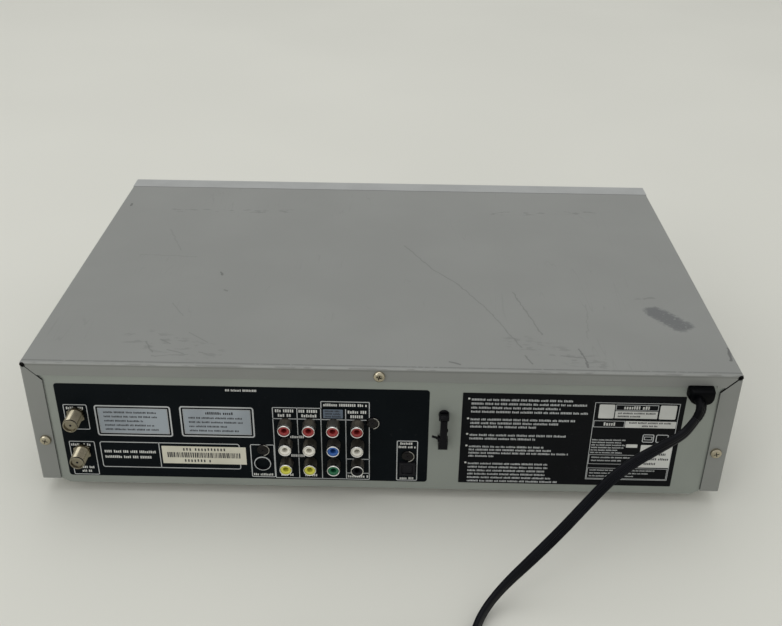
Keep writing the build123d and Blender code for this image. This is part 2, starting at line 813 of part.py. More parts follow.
with BuildPart() as power_button:
    with BuildSketch(upright(lip_y)):
        with Locations((power_x, power_z)):
            RegularPolygon(power_radius, many)
    extrude(amount=lip_y - face_y + front_proud)
    chamfer(power_button.faces().sort_by(Axis.Y)[0].edges(), key_bevel)
    with BuildSketch(upright(lip_y)):
        with Locations((power_x, power_z)):
            RegularPolygon(power_radius + key_lip, few)
    extrude(amount=-key_lip_thick)
    with BuildSketch(upright(lip_y)):
        with Locations((power_x, power_z)):
            Rectangle(key_stem, key_stem)
    extrude(amount=lip_y - stem_end_y)
save(power_button.part, "power_button")

with BuildPart() as channel_rocker:
    with BuildSketch(Plane.YZ.offset(rocker_x - rocker_width / 2)):
        with BuildLine():
            Polyline(
                (rocker_pivot_y + rocker_pin, rocker_z - rocker_pin),
                (rocker_pivot_y + rocker_pin, rocker_z + rocker_pin),
                (wall_y - rocker_back, rocker_z + rocker_height / 2),
                (face_y - rocker_proud, rocker_z + rocker_height / 2),
                (face_y - rocker_proud / 2, rocker_z),
                (face_y - rocker_proud, rocker_z - rocker_height / 2),
                (wall_y - rocker_back, rocker_z - rocker_height / 2),
                close=True,
            )
        make_face()
    extrude(amount=rocker_width)
    with BuildSketch(upright(wall_y)):
        for side in (-1, 1):
            with Locations((rocker_x, rocker_z + side * rocker_switch_rise)):
                Rectangle(key_stem, key_stem)
    extrude(amount=wall_y - stem_end_y)
    with BuildSketch(Plane.YZ.offset(rocker_x)):
        with Locations((rocker_pivot_y, rocker_z)):
            RegularPolygon(rocker_pin, few)
    extrude(amount=rocker_width / 2 + rocker_pin_length, both=True)
save(channel_rocker.part, "channel_rocker")

# Tape deck: chassis plate with folded-up sides and L-shaped guide slots
deck_thick = 1.2
deck_top = 31.2
side_gap = 0.8
arm_gap = 0.35
deck_half = basket_half + arm_gap + basket_sheet + side_gap + deck_thick
deck_front = drive_y - 116.0
deck_back = inside_y - 36.65
side_front = drive_y - 119.0
side_back = drive_y + 40.0
side_top = 86.0
leg_inset = 10.6
leg_x = deck_half - leg_inset
leg_front = drive_y - 105.0
leg_back = deck_back - 6.0
leg_width = 12.0
leg_foot = 8.0
slide_travel = 65.0
drop_travel = 19.0
pin_radius = 1.4
pin_ys = (drive_y - 95.0, drive_y - 65.0)
pin_zs = (62.0, 72.0)
slot_width = 4.0
reel_spacing = 92.1
reel_y = drive_y - 36.0
reel_shaft = 1.5
capstan_x = deck_x + 60.0
capstan_y = drive_y + 42.0
capstan_radius = 1.5
bearing_radius = 4.0
bearing_height = 7.0
arm_x = capstan_x + 18.0
arm_y = capstan_y + 20.0
arm_post = 2.0
arm_post_height = 18.0
reel_xs = (deck_x - reel_spacing / 2, deck_x + reel_spacing / 2)
guide_pins = list(zip(pin_ys, pin_zs))

with BuildPart() as deck_plate:
    with BuildSketch(Plane.XY.offset(deck_top)):
        with Locations((deck_x, deck_front)):
            Rectangle(2 * deck_half, deck_back - deck_front, align=(Align.CENTER, Align.MIN))
        with Locations(*[(x, reel_y) for x in reel_xs]):
            RegularPolygon(reel_shaft + running, few, major_radius=False, mode=Mode.SUBTRACT)
    extrude(amount=-deck_thick)
    for side in (-1, 1):
        with BuildSketch(Plane.YZ.offset(deck_x + side * deck_half)):
            with Locations((side_front, deck_top)):
                Rectangle(side_back - side_front, side_top - deck_top, align=(Align.MIN, Align.MIN))
            for y, z in guide_pins:
                with Locations((y + slide_travel / 2, z)):
                    Rectangle(slide_travel + slot_width, slot_width, mode=Mode.SUBTRACT)
                with Locations((y + slide_travel, z - drop_travel / 2)):
                    Rectangle(slot_width, drop_travel + slot_width, mode=Mode.SUBTRACT)
        extrude(amount=-side * deck_thick)
        for y in (leg_front, leg_back):
            with BuildSketch(Plane.XY.offset(floor_z)):
                with Locations((deck_x + side * leg_x, y)):
                    Rectangle(leg_width, deck_thick)
            extrude(amount=deck_top - deck_thick - floor_z)
            with BuildSketch(Plane.XY.offset(floor_z)):
                with Locations((deck_x + side * leg_x, y)):
                    Rectangle(leg_width, leg_foot, align=(Align.CENTER, Align.MIN))
            extrude(amount=deck_thick)
    with BuildSketch(Plane.XY.offset(deck_top)):
        with Locations((capstan_x, capstan_y)):
            RegularPolygon(bearing_radius, few)
    extrude(amount=bearing_height)
    with BuildSketch(Plane.XY.offset(deck_top)):
        with Locations((arm_x, arm_y)):
            RegularPolygon(arm_post, few)
    extrude(amount=arm_post_height)
    with BuildSketch(Plane.XY.offset(deck_top + bearing_height)):
        with Locations((capstan_x, capstan_y)):
            RegularPolygon(capstan_radius + running, few, major_radius=False)
    extrude(amount=-bearing_height - deck_thick, mode=Mode.SUBTRACT)
save(deck_plate.part, "deck_plate")

# Reel tables: a disc, a hub with three drive ribs and a shaft down through the deck
reel_radius = 14.0
reel_thick = 2.5
hub_radius = 7.0
hub_height = 9.0
rib_length = 9.0
rib_width = 2.0
reel_shaft_length = 4.0


def reel_table(x):
    """One reel table at its place along the deck."""
    with BuildPart() as reel:
        with BuildSketch(Plane.XY.offset(deck_top + loose)):
            with Locations((x, reel_y)):
                RegularPolygon(reel_radius, many)
        extrude(amount=reel_thick)
        with BuildSketch(Plane.XY.offset(deck_top + loose + reel_thick)):
            with Locations((x, reel_y)):
                RegularPolygon(hub_radius, some)
                for turn in range(3):
                    Rectangle(
                        rib_length, rib_width, rotation=120 * turn, align=(Align.MIN, Align.CENTER)
                    )
        extrude(amount=hub_height)
        with BuildSketch(Plane.XY.offset(deck_top + loose)):
            with Locations((x, reel_y)):
                RegularPolygon(reel_shaft, few)
        extrude(amount=-reel_shaft_length)
    return reel.part


save(reel_table(reel_xs[0]), "supply_reel")
save(reel_table(reel_xs[1]), "takeup_reel")

# Head drum, tilted on its base as a helical-scan drum is
drum_y = drive_y + 70.0
drum_radius = 31.0
drum_tilt = 6.0
drum_base_height = 18.0
drum_gap = 0.4
rotor_height = 15.0
rotor_cap_radius = 12.0
rotor_cap_height = 3.0
drum_shaft = 2.5
drum_shaft_length = 10.0
head_window = (5.0, 3.0)
drum_root = 5.0
drum_plane = Plane(origin=(deck_x, drum_y, deck_top)).rotated((drum_tilt, 0, 0))

with BuildPart() as drum_base:
    with BuildSketch(drum_plane.offset(-drum_root)):
        RegularPolygon(drum_radius, many)
    extrude(amount=drum_root + drum_base_height)
    split(bisect_by=Plane.XY.offset(deck_top), keep=Keep.TOP)
    with BuildSketch(drum_plane.offset(drum_base_height)):
        RegularPolygon(drum_shaft + running, few, major_radius=False)
    extrude(amount=-drum_shaft_length, mode=Mode.SUBTRACT)
save(drum_base.part, "drum_base")

with BuildPart() as drum_rotor:
    with BuildSketch(drum_plane.offset(drum_base_height + drum_gap)):
        RegularPolygon(drum_radius, many)
        for side in (-1, 1):
            with Locations((side * drum_radius, 0)):
                Rectangle(2 * head_window[1], head_window[0], mode=Mode.SUBTRACT)
    extrude(amount=rotor_height)
    with BuildSketch(drum_plane.offset(drum_base_height + drum_gap + rotor_height)):
        RegularPolygon(rotor_cap_radius, some)
    extrude(amount=rotor_cap_height)
    with BuildSketch(drum_plane.offset(drum_base_height + drum_gap)):
        RegularPolygon(drum_shaft, few)
    extrude(amount=-drum_shaft_length + 2 * drum_gap)
save(drum_rotor.part, "drum_rotor")

# Capstan: a flywheel under the deck and a thin shaft up through its bearing
flywheel_radius = 20.0
flywheel_thick = 6.0
capstan_top = 60.0
flywheel_z = deck_top - deck_thick - loose - flywheel_thick

with BuildPart() as capstan:
    with BuildSketch(Plane.XY.offset(flywheel_z)):
        with Locations((capstan_x, capstan_y)):
            RegularPolygon(flywheel_radius, many)
    extrude(amount=flywheel_thick)
    with BuildSketch(Plane.XY.offset(flywheel_z)):
        with Locations((capstan_x, capstan_y)):
            RegularPolygon(capstan_radius, few)
    extrude(amount=capstan_top - flywheel_z)
save(capstan.part, "capstan")

# Pinch roller on its swinging arm
arm_hub = 4.0
arm_hub_height = 16.0
arm_thick = 3.0
arm_width = 7.0
arm_overlap = 5.6
roller_radius = 6.0
roller_height = 12.0
roller_pin = 1.5
roller_x = arm_x - 4.0
roller_y = arm_y - 24.0
arm_level = deck_top + loose + arm_hub_height - arm_thick
roller_z = arm_level + arm_thick + loose

with BuildPart() as pinch_arm:
    with BuildSketch(Plane.XY.offset(deck_top + loose)):
        with Locations((arm_x, arm_y)):
            RegularPolygon(arm_hub, some)
    extrude(amount=arm_hub_height)
    with BuildSketch(Plane.XY.offset(arm_level)):
        with Locations(((arm_x + roller_x) / 2, (arm_y + roller_y) / 2)):
            Rectangle(
                math.hypot(roller_x - arm_x, roller_y - arm_y) + arm_overlap,
                arm_width,
                rotation=math.degrees(math.atan2(roller_y - arm_y, roller_x - arm_x)),
            )
    extrude(amount=arm_thick)
    with BuildSketch(Plane.XY.offset(arm_level)):
        with Locations((roller_x, roller_y)):
            RegularPolygon(roller_pin, few)
    extrude(amount=arm_thick + loose + roller_height + loose)
    with BuildSketch(Plane.XY.offset(deck_top + loose)):
        with Locations((arm_x, arm_y)):
            RegularPolygon(arm_post + running, few, major_radius=False)
    extrude(amount=arm_hub_height, mode=Mode.SUBTRACT)
save(pinch_arm.part, "pinch_arm")

with BuildPart() as pinch_roller:
    with BuildSketch(Plane.XY.offset(roller_z)):
        with Locations((roller_x, roller_y)):
            RegularPolygon(roller_radius, some)
            RegularPolygon(roller_pin + running, few, major_radius=False, mode=Mode.SUBTRACT)
    extrude(amount=roller_height)
save(pinch_roller.part, "pinch_roller")

# Cassette holder: a sheet basket that hangs by its pins in the arms of a sliding carriage
basket_front = drive_y - 117.0
basket_depth = 75.0
basket_bottom = 55.0
basket_top = 83.5
ledge_width = 18.0
window_size = (38.0, 46.0)
window_pitch = 46.0
window_count = 3
carriage_rim = 8.0
carriage_y = drive_y - 80.0
carriage_width = 44.0
carriage_arm_bottom = 38.0
pin_end_gap = 0.3
basket_y = basket_front + basket_depth / 2
arm_inner = basket_half + arm_gap
arm_outer = arm_inner + basket_sheet
pin_reach = deck_half - deck_thick - pin_end_gap

with BuildPart() as cassette_holder:
    with BuildSketch(upright(basket_front)):
        with Locations((deck_x, basket_bottom)):
            Rectangle(2 * basket_half, basket_top - basket_bottom, align=(Align.CENTER, Align.MIN))
        with Locations((deck_x, basket_bottom + basket_sheet)):
            Rectangle(
                2 * (basket_half - basket_sheet),
                basket_top - basket_bottom - 2 * basket_sheet,
                align=(Align.CENTER, Align.MIN),
                mode=Mode.SUBTRACT,
            )
        with Locations((deck_x, basket_bottom)):
            Rectangle(
                2 * (basket_half - ledge_width),
                basket_sheet,
                align=(Align.CENTER, Align.MIN),
                mode=Mode.SUBTRACT,
            )
    extrude(amount=-basket_depth)
    with BuildSketch(Plane.XY.offset(basket_top)):
        with Locations((deck_x, basket_y)):
            with GridLocations(window_pitch, 1.0, window_count, 1):
                Rectangle(*window_size)
    extrude(amount=-basket_sheet, mode=Mode.SUBTRACT)
    for side in (-1, 1):
        with BuildSketch(Plane.YZ.offset(deck_x + side * (basket_half - basket_sheet / 2))):
            with Locations(*guide_pins):
                RegularPolygon(pin_radius, few)
        extrude(amount=side * (pin_reach - basket_half + basket_sheet / 2))
save(cassette_holder.part, "cassette_holder")

with BuildPart() as holder_carriage:
    with BuildSketch(Plane.XY.offset(side_top + loose)):
        with Locations((deck_x, carriage_y)):
            Rectangle(2 * deck_half, carriage_width)
            with GridLocations(window_pitch, 1.0, window_count, 1):
                Rectangle(window_size[0], carriage_width - 2 * carriage_rim, mode=Mode.SUBTRACT)
    extrude(amount=basket_sheet)
    for side in (-1, 1):
        with BuildSketch(Plane.YZ.offset(deck_x + side * arm_inner)):
            with Locations((carriage_y, carriage_arm_bottom)):
                Rectangle(
                    carriage_width, side_top + loose - carriage_arm_bottom, align=(Align.CENTER, Align.MIN)
                )
            for y, z in guide_pins:
                with Locations((y, z - drop_travel / 2)):
                    Rectangle(
                        2 * pin_radius + loose,
                        drop_travel + 2 * pin_radius + loose,
                        mode=Mode.SUBTRACT,
                    )
        extrude(amount=side * basket_sheet)
save(holder_carriage.part, "holder_carriage")

# Disc loader: a moulded frame on four legs, open at the front and the top
loader_wall = 2.2
tray_side_gap = 0.6
loader_half = tray_half + tray_side_gap + loader_wall
loader_front = drive_y - 128.0
loader_back = drive_y + 66.0
loader_floor_z = 44.0
loader_floor = 2.0
loader_top = 78.0
loader_leg = 3.5
loader_leg_x = 58.0
loader_leg_ys = (loader_front + 9.0, loader_back - 9.0)
well_half = 41.0
well_front = drive_y - 112.0
well_back = drive_y + 34.0
tray_thick = 7.0
tray_back = drive_y + 38.0
rail_height = 2.0
rail_reach = 4.0
rack_rail_reach = 2.0
rail_stop = 1.0
gear_module = 1.25
gear_teeth = 16
gear_backlash = 0.25
pressure_angle = math.radians(20)
rack_dedendum = 1.25 * gear_module
gear_thick = 2.6
gear_y = drive_y - 108.0
gear_pin = 2.0
rack_back_width = 3.0
rack_front_y = drive_y - 122.0
tray_gap = 0.3
gear_pitch_radius = gear_module * gear_teeth / 2
gear_z = tray_bottom - loose - gear_thick
rack_x = disc_x - tray_half + rack_back_width + rack_dedendum
gear_x = rack_x + gear_pitch_radius
tray_plate_y = face_y + tray_front_thick

with BuildPart() as loader_chassis:
    with BuildSketch(Plane.XY.offset(loader_floor_z)):
        with Locations((disc_x, loader_front)):
            Rectangle(2 * loader_half, loader_back - loader_front, align=(Align.CENTER, Align.MIN))
    extrude(amount=loader_top - loader_floor_z)
    with BuildSketch(Plane.XY.offset(loader_floor_z + loader_floor)):
        with Locations((disc_x, loader_front)):
            Rectangle(
                2 * (loader_half - loader_wall),
                loader_back - loader_front - loader_wall,
                align=(Align.CENTER, Align.MIN),
            )
    extrude(amount=loader_top - loader_floor_z, mode=Mode.SUBTRACT)
    with BuildSketch(Plane.XY.offset(loader_floor_z)):
        with Locations((disc_x, well_front)):
            Rectangle(2 * well_half, well_back - well_front, align=(Align.CENTER, Align.MIN))
    extrude(amount=loader_floor, mode=Mode.SUBTRACT)
    with BuildSketch(Plane.XY.offset(tray_bottom - tray_gap)):
        with Locations((disc_x + loader_half - loader_wall, loader_front)):
            Rectangle(rail_reach, loader_back - loader_front - rail_stop, align=(Align.MAX, Align.MIN))
    extrude(amount=-rail_height)
    with BuildSketch(Plane.XY.offset(tray_bottom - rack_height - tray_gap)):
        with Locations((disc_x - loader_half + loader_wall, loader_front)):
            Rectangle(rack_rail_reach, loader_back - loader_front - rail_stop, align=(Align.MIN, Align.MIN))
    extrude(amount=-rail_height)
    with BuildSketch(Plane.XY.offset(floor_z)):
        with Locations(*[(disc_x + s * loader_leg_x, y) for s in (-1, 1) for y in loader_leg_ys]):
            RegularPolygon(loader_leg, least)
    extrude(amount=loader_floor_z - floor_z)
    with BuildSketch(Plane.XY.offset(loader_floor_z + loader_floor)):
        with Locations((gear_x, gear_y)):
            RegularPolygon(gear_pin, few)
    extrude(amount=gear_z + gear_thick - loader_floor_z - loader_floor)
save(loader_chassis.part, "loader_chassis")

# Disc tray: two disc recesses, a slot for the pickup and a toothed rack under one edge
small_disc_radius = 40.4
disc_recess = 2.0
small_disc_recess = 3.0
spindle_y = drive_y - 82.0
spindle_hole = 17.0
pickup_slot = 40.0
pickup_slot_end = drive_y - 12.0
tooth_pitch = math.pi * gear_module
rack_teeth = int((tray_back - rack_front_y) / tooth_pitch)


def tooth_half(depth):
    """Half the thickness of a straight rack tooth at a depth beyond its pitch line."""
    return tooth_pitch / 4 - gear_backlash / 2 - depth * math.tan(pressure_angle)


with BuildPart() as disc_tray:
    with BuildSketch(Plane.XY.offset(tray_bottom)):
        with Locations((disc_x, tray_plate_y)):
            Rectangle(2 * tray_half, tray_back - tray_plate_y, align=(Align.CENTER, Align.MIN))
        with Locations((disc_x, spindle_y)):
            RegularPolygon(spindle_hole, many, major_radius=False, mode=Mode.SUBTRACT)
            Rectangle(
                pickup_slot,
                pickup_slot_end - spindle_y,
                align=(Align.CENTER, Align.MIN),
                mode=Mode.SUBTRACT,
            )
    extrude(amount=tray_thick)
    for radius, depth in ((disc_radius, disc_recess), (small_disc_radius, small_disc_recess)):
        with BuildSketch(Plane.XY.offset(tray_bottom + tray_thick)):
            with Locations((disc_x, spindle_y)):
                RegularPolygon(radius, most, major_radius=False)
        extrude(amount=-depth, mode=Mode.SUBTRACT)
    with BuildSketch(Plane.XY.offset(tray_bottom)):
        with Locations((disc_x - tray_half, rack_front_y)):
            Rectangle(
                rack_back_width, rack_teeth * tooth_pitch, align=(Align.MIN, Align.MIN)
            )
        with BuildLine():
            for tooth in range(rack_teeth):
                middle = gear_y + (tooth + 0.5) * tooth_pitch
                middle -= math.ceil((gear_y - rack_front_y) / tooth_pitch) * tooth_pitch
                root_x = rack_x - rack_dedendum
                tip_x = rack_x + gear_module
                Polyline(
                    (root_x, middle - tooth_half(-rack_dedendum)),
                    (tip_x, middle - tooth_half(gear_module)),
                    (tip_x, middle + tooth_half(gear_module)),
                    (root_x, middle + tooth_half(-rack_dedendum)),
                    close=True,
                )
        make_face()
    extrude(amount=-rack_height)
save(disc_tray.part, "disc_tray")

with BuildPart() as tray_front:
    with BuildSketch(upright(tray_plate_y)):
        with Locations((disc_x, tray_front_z)):
            Rectangle(tray_front_width, tray_front_height)
    extrude(amount=tray_front_thick)
    chamfer(tray_front.faces().sort_by(Axis.Y)[0].edges(), key_bevel)
save(tray_front.part, "tray_front")

# Tray gear: teeth from the involute, on a tall hub that turns on the frame's pin
gear_hub = 4.0
gear_addendum = gear_module * 0.9
gear_dedendum = gear_module * 1.2
base_radius = gear_pitch_radius * math.cos(pressure_angle)


def flank_angle(radius):
    """Half the angle that a tooth covers at a radius, from the involute of its base circle."""
    reach = max(radius, base_radius)
    roll = math.sqrt((reach / base_radius) ** 2 - 1)
    pitch_roll = math.tan(pressure_angle)
    spread = (pitch_roll - math.atan(pitch_roll)) - (roll - math.atan(roll))
    return math.pi / (2 * gear_teeth) - gear_backlash / (2 * gear_pitch_radius) + spread


def around(radius, angle):
    """A point at a radius and an angle about the gear's middle."""
    return (gear_x + radius * math.cos(angle), gear_y + radius * math.sin(angle))


gear_outline = []
for tooth in range(gear_teeth):
    middle = math.pi + tooth * 2 * math.pi / gear_teeth
    root = gear_pitch_radius - gear_dedendum
    tip = gear_pitch_radius + gear_addendum
    gear_outline += [
        around(root, middle - flank_angle(root)),
        around(tip, middle - flank_angle(tip)),
        around(tip, middle + flank_angle(tip)),
        around(root, middle + flank_angle(root)),
    ]

with BuildPart() as tray_gear:
    with BuildSketch(Plane.XY.offset(gear_z)):
        with BuildLine():
            Polyline(*gear_outline, close=True)
        make_face()
    extrude(amount=gear_thick)
    with BuildSketch(Plane.XY.offset(loader_floor_z + loader_floor + loose)):
        with Locations((gear_x, gear_y)):
            RegularPolygon(gear_hub, some)
    extrude(amount=gear_z - loader_floor_z - loader_floor - loose)
    with BuildSketch(Plane.XY.offset(gear_z + gear_thick)):
        with Locations((gear_x, gear_y)):
            RegularPolygon(gear_pin + running, few, major_radius=False)
    extrude(amount=-gear_z, mode=Mode.SUBTRACT)
save(tray_gear.part, "tray_gear")

# Traverse: the plate that rises under the disc with the spindle motor and the pickup rods
traverse_ledge = 4.0
traverse_half = well_half + traverse_ledge
traverse_front = drive_y - 116.0
traverse_back = drive_y + 38.0
traverse_thick = 2.0
traverse_corner = 6.0
motor_radius = 12.0
motor_height = 8.0
rod_radius = 1.5
rod_spread = 16.0
rod_z = 53.0
rod_front = drive_y - 74.0
rod_back = drive_y + 2.0
rod_block = (6.0, 4.0)
sled_slot = (24.0, 60.0)
traverse_z = loader_floor_z + loader_floor + loose
traverse_top = traverse_z + traverse_thick
rod_xs = (disc_x - rod_spread, disc_x + rod_spread)

with BuildPart() as traverse:
    with BuildSketch(Plane.XY.offset(traverse_z)):
        with Locations((disc_x, traverse_front)):
            Rectangle(
                2 * traverse_half, traverse_back - traverse_front, align=(Align.CENTER, Align.MIN)
            )
        with Locations((disc_x, (rod_front + rod_back) / 2)):
            Rectangle(*sled_slot, mode=Mode.SUBTRACT)
    extrude(amount=traverse_thick)
    chamfer(traverse.edges().filter_by(Axis.Z).group_by(Axis.Y)[0], traverse_corner)
    with BuildSketch(Plane.XY.offset(traverse_z)):
        with Locations((disc_x, spindle_y)):
            RegularPolygon(motor_radius, some)
    extrude(amount=-motor_height)
    with BuildSketch(Plane.XY.offset(traverse_top)):
        for x in rod_xs:
            with Locations((x, rod_front)):
                Rectangle(*rod_block, align=(Align.CENTER, Align.MAX))
            with Locations((x, rod_back)):
                Rectangle(*rod_block, align=(Align.CENTER, Align.MIN))
    extrude(amount=rod_z + 2 * rod_radius - traverse_top)
    with BuildSketch(upright(rod_back)):
        with Locations(*[(x, rod_z) for x in rod_xs]):
            RegularPolygon(rod_radius, few)
    extrude(amount=rod_back - rod_front)
save(traverse.part, "traverse")

# Turntable: a rubber-topped platter and a centring cone on the motor's shaft
platter_z = 61.0
platter_radius = 15.0
platter_thick = 2.4
cone_radius = 7.3
cone_height = 2.0
cone_draft = 25.0
shaft_radius = 2.0

with BuildPart() as turntable:
    with BuildSketch(Plane.XY.offset(platter_z)):
        with Locations((disc_x, spindle_y)):
            RegularPolygon(platter_radius, many)
    extrude(amount=platter_thick)
    with BuildSketch(Plane.XY.offset(platter_z + platter_thick)):
        with Locations((disc_x, spindle_y)):
            RegularPolygon(cone_radius, some)
    extrude(amount=cone_height, taper=cone_draft)
    with BuildSketch(Plane.XY.offset(platter_z)):
        with Locations((disc_x, spindle_y)):
            RegularPolygon(shaft_radius, few)
    extrude(amount=traverse_top + loose - platter_z)
save(turntable.part, "turntable")

# Pickup sled: a carrier on two rods with its lens on top
sled_y = drive_y - 57.0
sled_width = 42.0
sled_length = 26.0
sled_corner = 4.0
sled_bottom = 50.0
sled_top = 57.0
sled_keel = (20.0, 18.0)
lens_block = (12.0, 11.0, 1.0)
lens_radius = 3.0
lens_height = 2.5

with BuildPart() as pickup_sled:
    with BuildSketch(Plane.XY.offset(sled_bottom)):
        with Locations((disc_x, sled_y)):
            Rectangle(sled_width, sled_length)
    extrude(amount=sled_top - sled_bottom)
    chamfer(pickup_sled.edges().filter_by(Axis.Z), sled_corner)
    with BuildSketch(Plane.XY.offset(sled_bottom)):
        with Locations((disc_x, sled_y)):
            Rectangle(*sled_keel)
    extrude(amount=traverse_z - sled_bottom)
    with BuildSketch(Plane.XY.offset(sled_top)):
        with Locations((disc_x, sled_y)):
            Rectangle(lens_block[0], lens_block[1])
    extrude(amount=lens_block[2])
    with BuildSketch(Plane.XY.offset(sled_top)):
        with Locations((disc_x, sled_y)):
            RegularPolygon(lens_radius, few)
    extrude(amount=lens_height)
    with BuildSketch(upright(rod_back)):
        with Locations(*[(x, rod_z) for x in rod_xs]):
            RegularPolygon(rod_radius + running, few, major_radius=False)
    extrude(amount=rod_back - rod_front, mode=Mode.SUBTRACT)
save(pickup_sled.part, "pickup_sled")

# Disc clamp: a bridge over the tray and the loose disc that hangs in its hole
bridge_sheet = 1.2
bridge_depth = 44.0
bridge_rib = 3.6
bridge_hole = 10.5
clamp_z = 74.2
clamp_radius = 15.0
clamp_thick = 3.0
clamp_neck = 9.5
clamp_cap = 12.5
clamp_cap_thick = 1.2
bridge_top = loader_top + bridge_sheet

with BuildPart() as clamp_bridge:
    with BuildSketch(Plane.XY.offset(loader_top)):
        with Locations((disc_x, spindle_y)):
            Rectangle(2 * loader_half, bridge_depth)
            RegularPolygon(bridge_hole, some, major_radius=False, mode=Mode.SUBTRACT)
    extrude(amount=bridge_sheet)
    for side in (-1, 1):
        with BuildSketch(Plane.XY.offset(bridge_top)):
            with Locations((disc_x, spindle_y + side * (bridge_depth - bridge_sheet) / 2)):
                Rectangle(2 * loader_half, bridge_sheet)
        extrude(amount=bridge_rib)
save(clamp_bridge.part, "clamp_bridge")

with BuildPart() as clamp_disc:
    with BuildSketch(Plane.XY.offset(clamp_z)):
        with Locations((disc_x, spindle_y)):
            RegularPolygon(clamp_radius, many)
    extrude(amount=clamp_thick)
    with BuildSketch(Plane.XY.offset(clamp_z + clamp_thick)):
        with Locations((disc_x, spindle_y)):
            RegularPolygon(clamp_neck, some)
    extrude(amount=bridge_top + loose - clamp_z - clamp_thick)
    with BuildSketch(Plane.XY.offset(bridge_top + loose)):
        with Locations((disc_x, spindle_y)):
            RegularPolygon(clamp_cap, some)
    extrude(amount=clamp_cap_thick)
save(clamp_disc.part, "clamp_disc")

# Main board, with chips, a crystal, capacitors and holes for the deck's back legs
leg_clearance = 3.0
chip_places = [(56.0, 18.0, 20.0), (96.0, 28.0, 16.0), (24.0, 54.0, 12.0)]
chip_height = 2.0
can_radius = 4.0
can_height = 9.0
can_places = [(12.0, 34.0), (12.0, 46.0), (136.0, 70.0), (148.0, 70.0), (160.0, 70.0)]
main_board_corner = Location((main_board_x[0], main_board_y[0], 0))

with BuildPart() as main_board:
    with BuildSketch(Plane.XY.offset(board_z)):
        with Locations((main_board_x[0], main_board_y[0])):
            Rectangle(
                main_board_x[1] - main_board_x[0],
                main_board_y[1] - main_board_y[0],
                align=(Align.MIN, Align.MIN),
            )
        for side in (-1, 1):
            with Locations((deck_x + side * leg_x, leg_back)):
                Rectangle(
                    leg_width + leg_clearance, 2 * (leg_foot + leg_clearance), mode=Mode.SUBTRACT
                )
    extrude(amount=board_thick)
    with BuildSketch(Plane.XY.offset(board_top).move(main_board_corner)):
        for x, y, side in chip_places:
            with Locations((x, y)):
                Rectangle(side, side)
    extrude(amount=chip_height)
    with BuildSketch(Plane.XY.offset(board_top).move(main_board_corner)):
        with Locations(*can_places):
            RegularPolygon(can_radius, few)
    extrude(amount=can_height)
save(main_board.part, "main_board")

# Power board: transformer, reservoir capacitors and a finned heat sink
transformer = (38.0, 32.0, 22.0)
transformer_bevel = 1.5
transformer_place = (56.0, 34.0)
reservoir_radius = 8.0
reservoir_height = 24.0
reservoir_places = [(94.0, 22.0), (94.0, 42.0)]
fin_count = 5
fin_pitch = 4.0
fin_sheet = 1.4
sink_size = (44.0, 24.0)
sink_place = (130.0, 34.0)
fin_length = 35.0
power_board_corner = Location((power_board_x[0], power_board_y[0], 0))

with BuildPart() as power_board:
    with BuildSketch(Plane.XY.offset(board_z)):
        with Locations((power_board_x[0], power_board_y[0])):
            Rectangle(
                power_board_x[1] - power_board_x[0],
                power_board_y[1] - power_board_y[0],
                align=(Align.MIN, Align.MIN),
            )
    extrude(amount=board_thick)
    with BuildSketch(Plane.XY.offset(board_top).move(power_board_corner)):
        with Locations(transformer_place):
            Rectangle(transformer[0], transformer[1])
    extrude(amount=transformer[2])
    chamfer(power_board.faces().sort_by(Axis.Z)[-1].edges(), transformer_bevel)
    with BuildSketch(Plane.XY.offset(board_top).move(power_board_corner)):
        with Locations(*reservoir_places):
            RegularPolygon(reservoir_radius, few)
    extrude(amount=reservoir_height)
    with BuildSketch(Plane.XY.offset(board_top).move(power_board_corner)):
        with Locations(sink_place):
            Rectangle(sink_size[0], fin_sheet)
            with GridLocations(1.0, fin_pitch, 1, fin_count):
                Rectangle(fin_length, fin_sheet)
            Rectangle(fin_sheet, fin_pitch * (fin_count - 1))
    extrude(amount=sink_size[1])
save(power_board.part, "power_board")

# Strain relief of the mains lead: neck, head and the boot that turns the lead downwards
grommet_proud = 7.0
grommet_corner = 2.8
grommet_corner_trim = 1.1
grommet_bevel = 0.8
grommet_neck_depth = 9.0
grommet_catch = 1.4
boot_exit_x = 1.3
boot_start_run = 9.0
boot_end_run = 8.0
boot_bend = 8.5
boot_width = 8.6
boot_thick = 5.2
boot_bevel = 1.4
boot_start = Vector(grommet_x + boot_exit_x, panel_y + grommet_proud, grommet_z)
boot_out = Vector(0.1, 1.0, 0.0).normalized()
lead_out = Vector(0.55, 0.33, -0.766).normalized()
boot_corner = boot_start + boot_out * boot_start_run
lead_start = boot_corner + lead_out * boot_end_run
lead_wide = lead_out.cross(boot_out).normalized()

with BuildPart() as cord_grommet:
    with BuildSketch(upright(panel_y)):
        with Locations((grommet_x, grommet_z)):
            head = Rectangle(grommet_width, grommet_height)
        head = chamfer(head.vertices(), grommet_corner)
        chamfer(head.vertices(), grommet_corner_trim)
    extrude(amount=-grommet_proud)
    chamfer(cord_grommet.faces().sort_by(Axis.Y)[-1].edges(), grommet_bevel)
    with BuildSketch(upright(panel_y)):
        with Locations((grommet_x, grommet_z)):
            Rectangle(grommet_neck_width, grommet_neck_height)
    extrude(amount=grommet_neck_depth)
    with BuildSketch(upright(inside_y - loose)):
        with Locations((grommet_x, grommet_z)):
            Rectangle(grommet_neck_width + grommet_catch, grommet_neck_height + grommet_catch)
    extrude(amount=grommet_catch)
    with BuildLine():
        FilletPolyline(boot_start, boot_corner, lead_start, radius=boot_bend)
    with BuildSketch(Plane(origin=boot_start, x_dir=lead_wide, z_dir=boot_out)) as boot_section:
        Rectangle(boot_width, boot_thick)
        chamfer(boot_section.vertices(), boot_bevel)
    sweep()
save(cord_grommet.part, "cord_grommet")

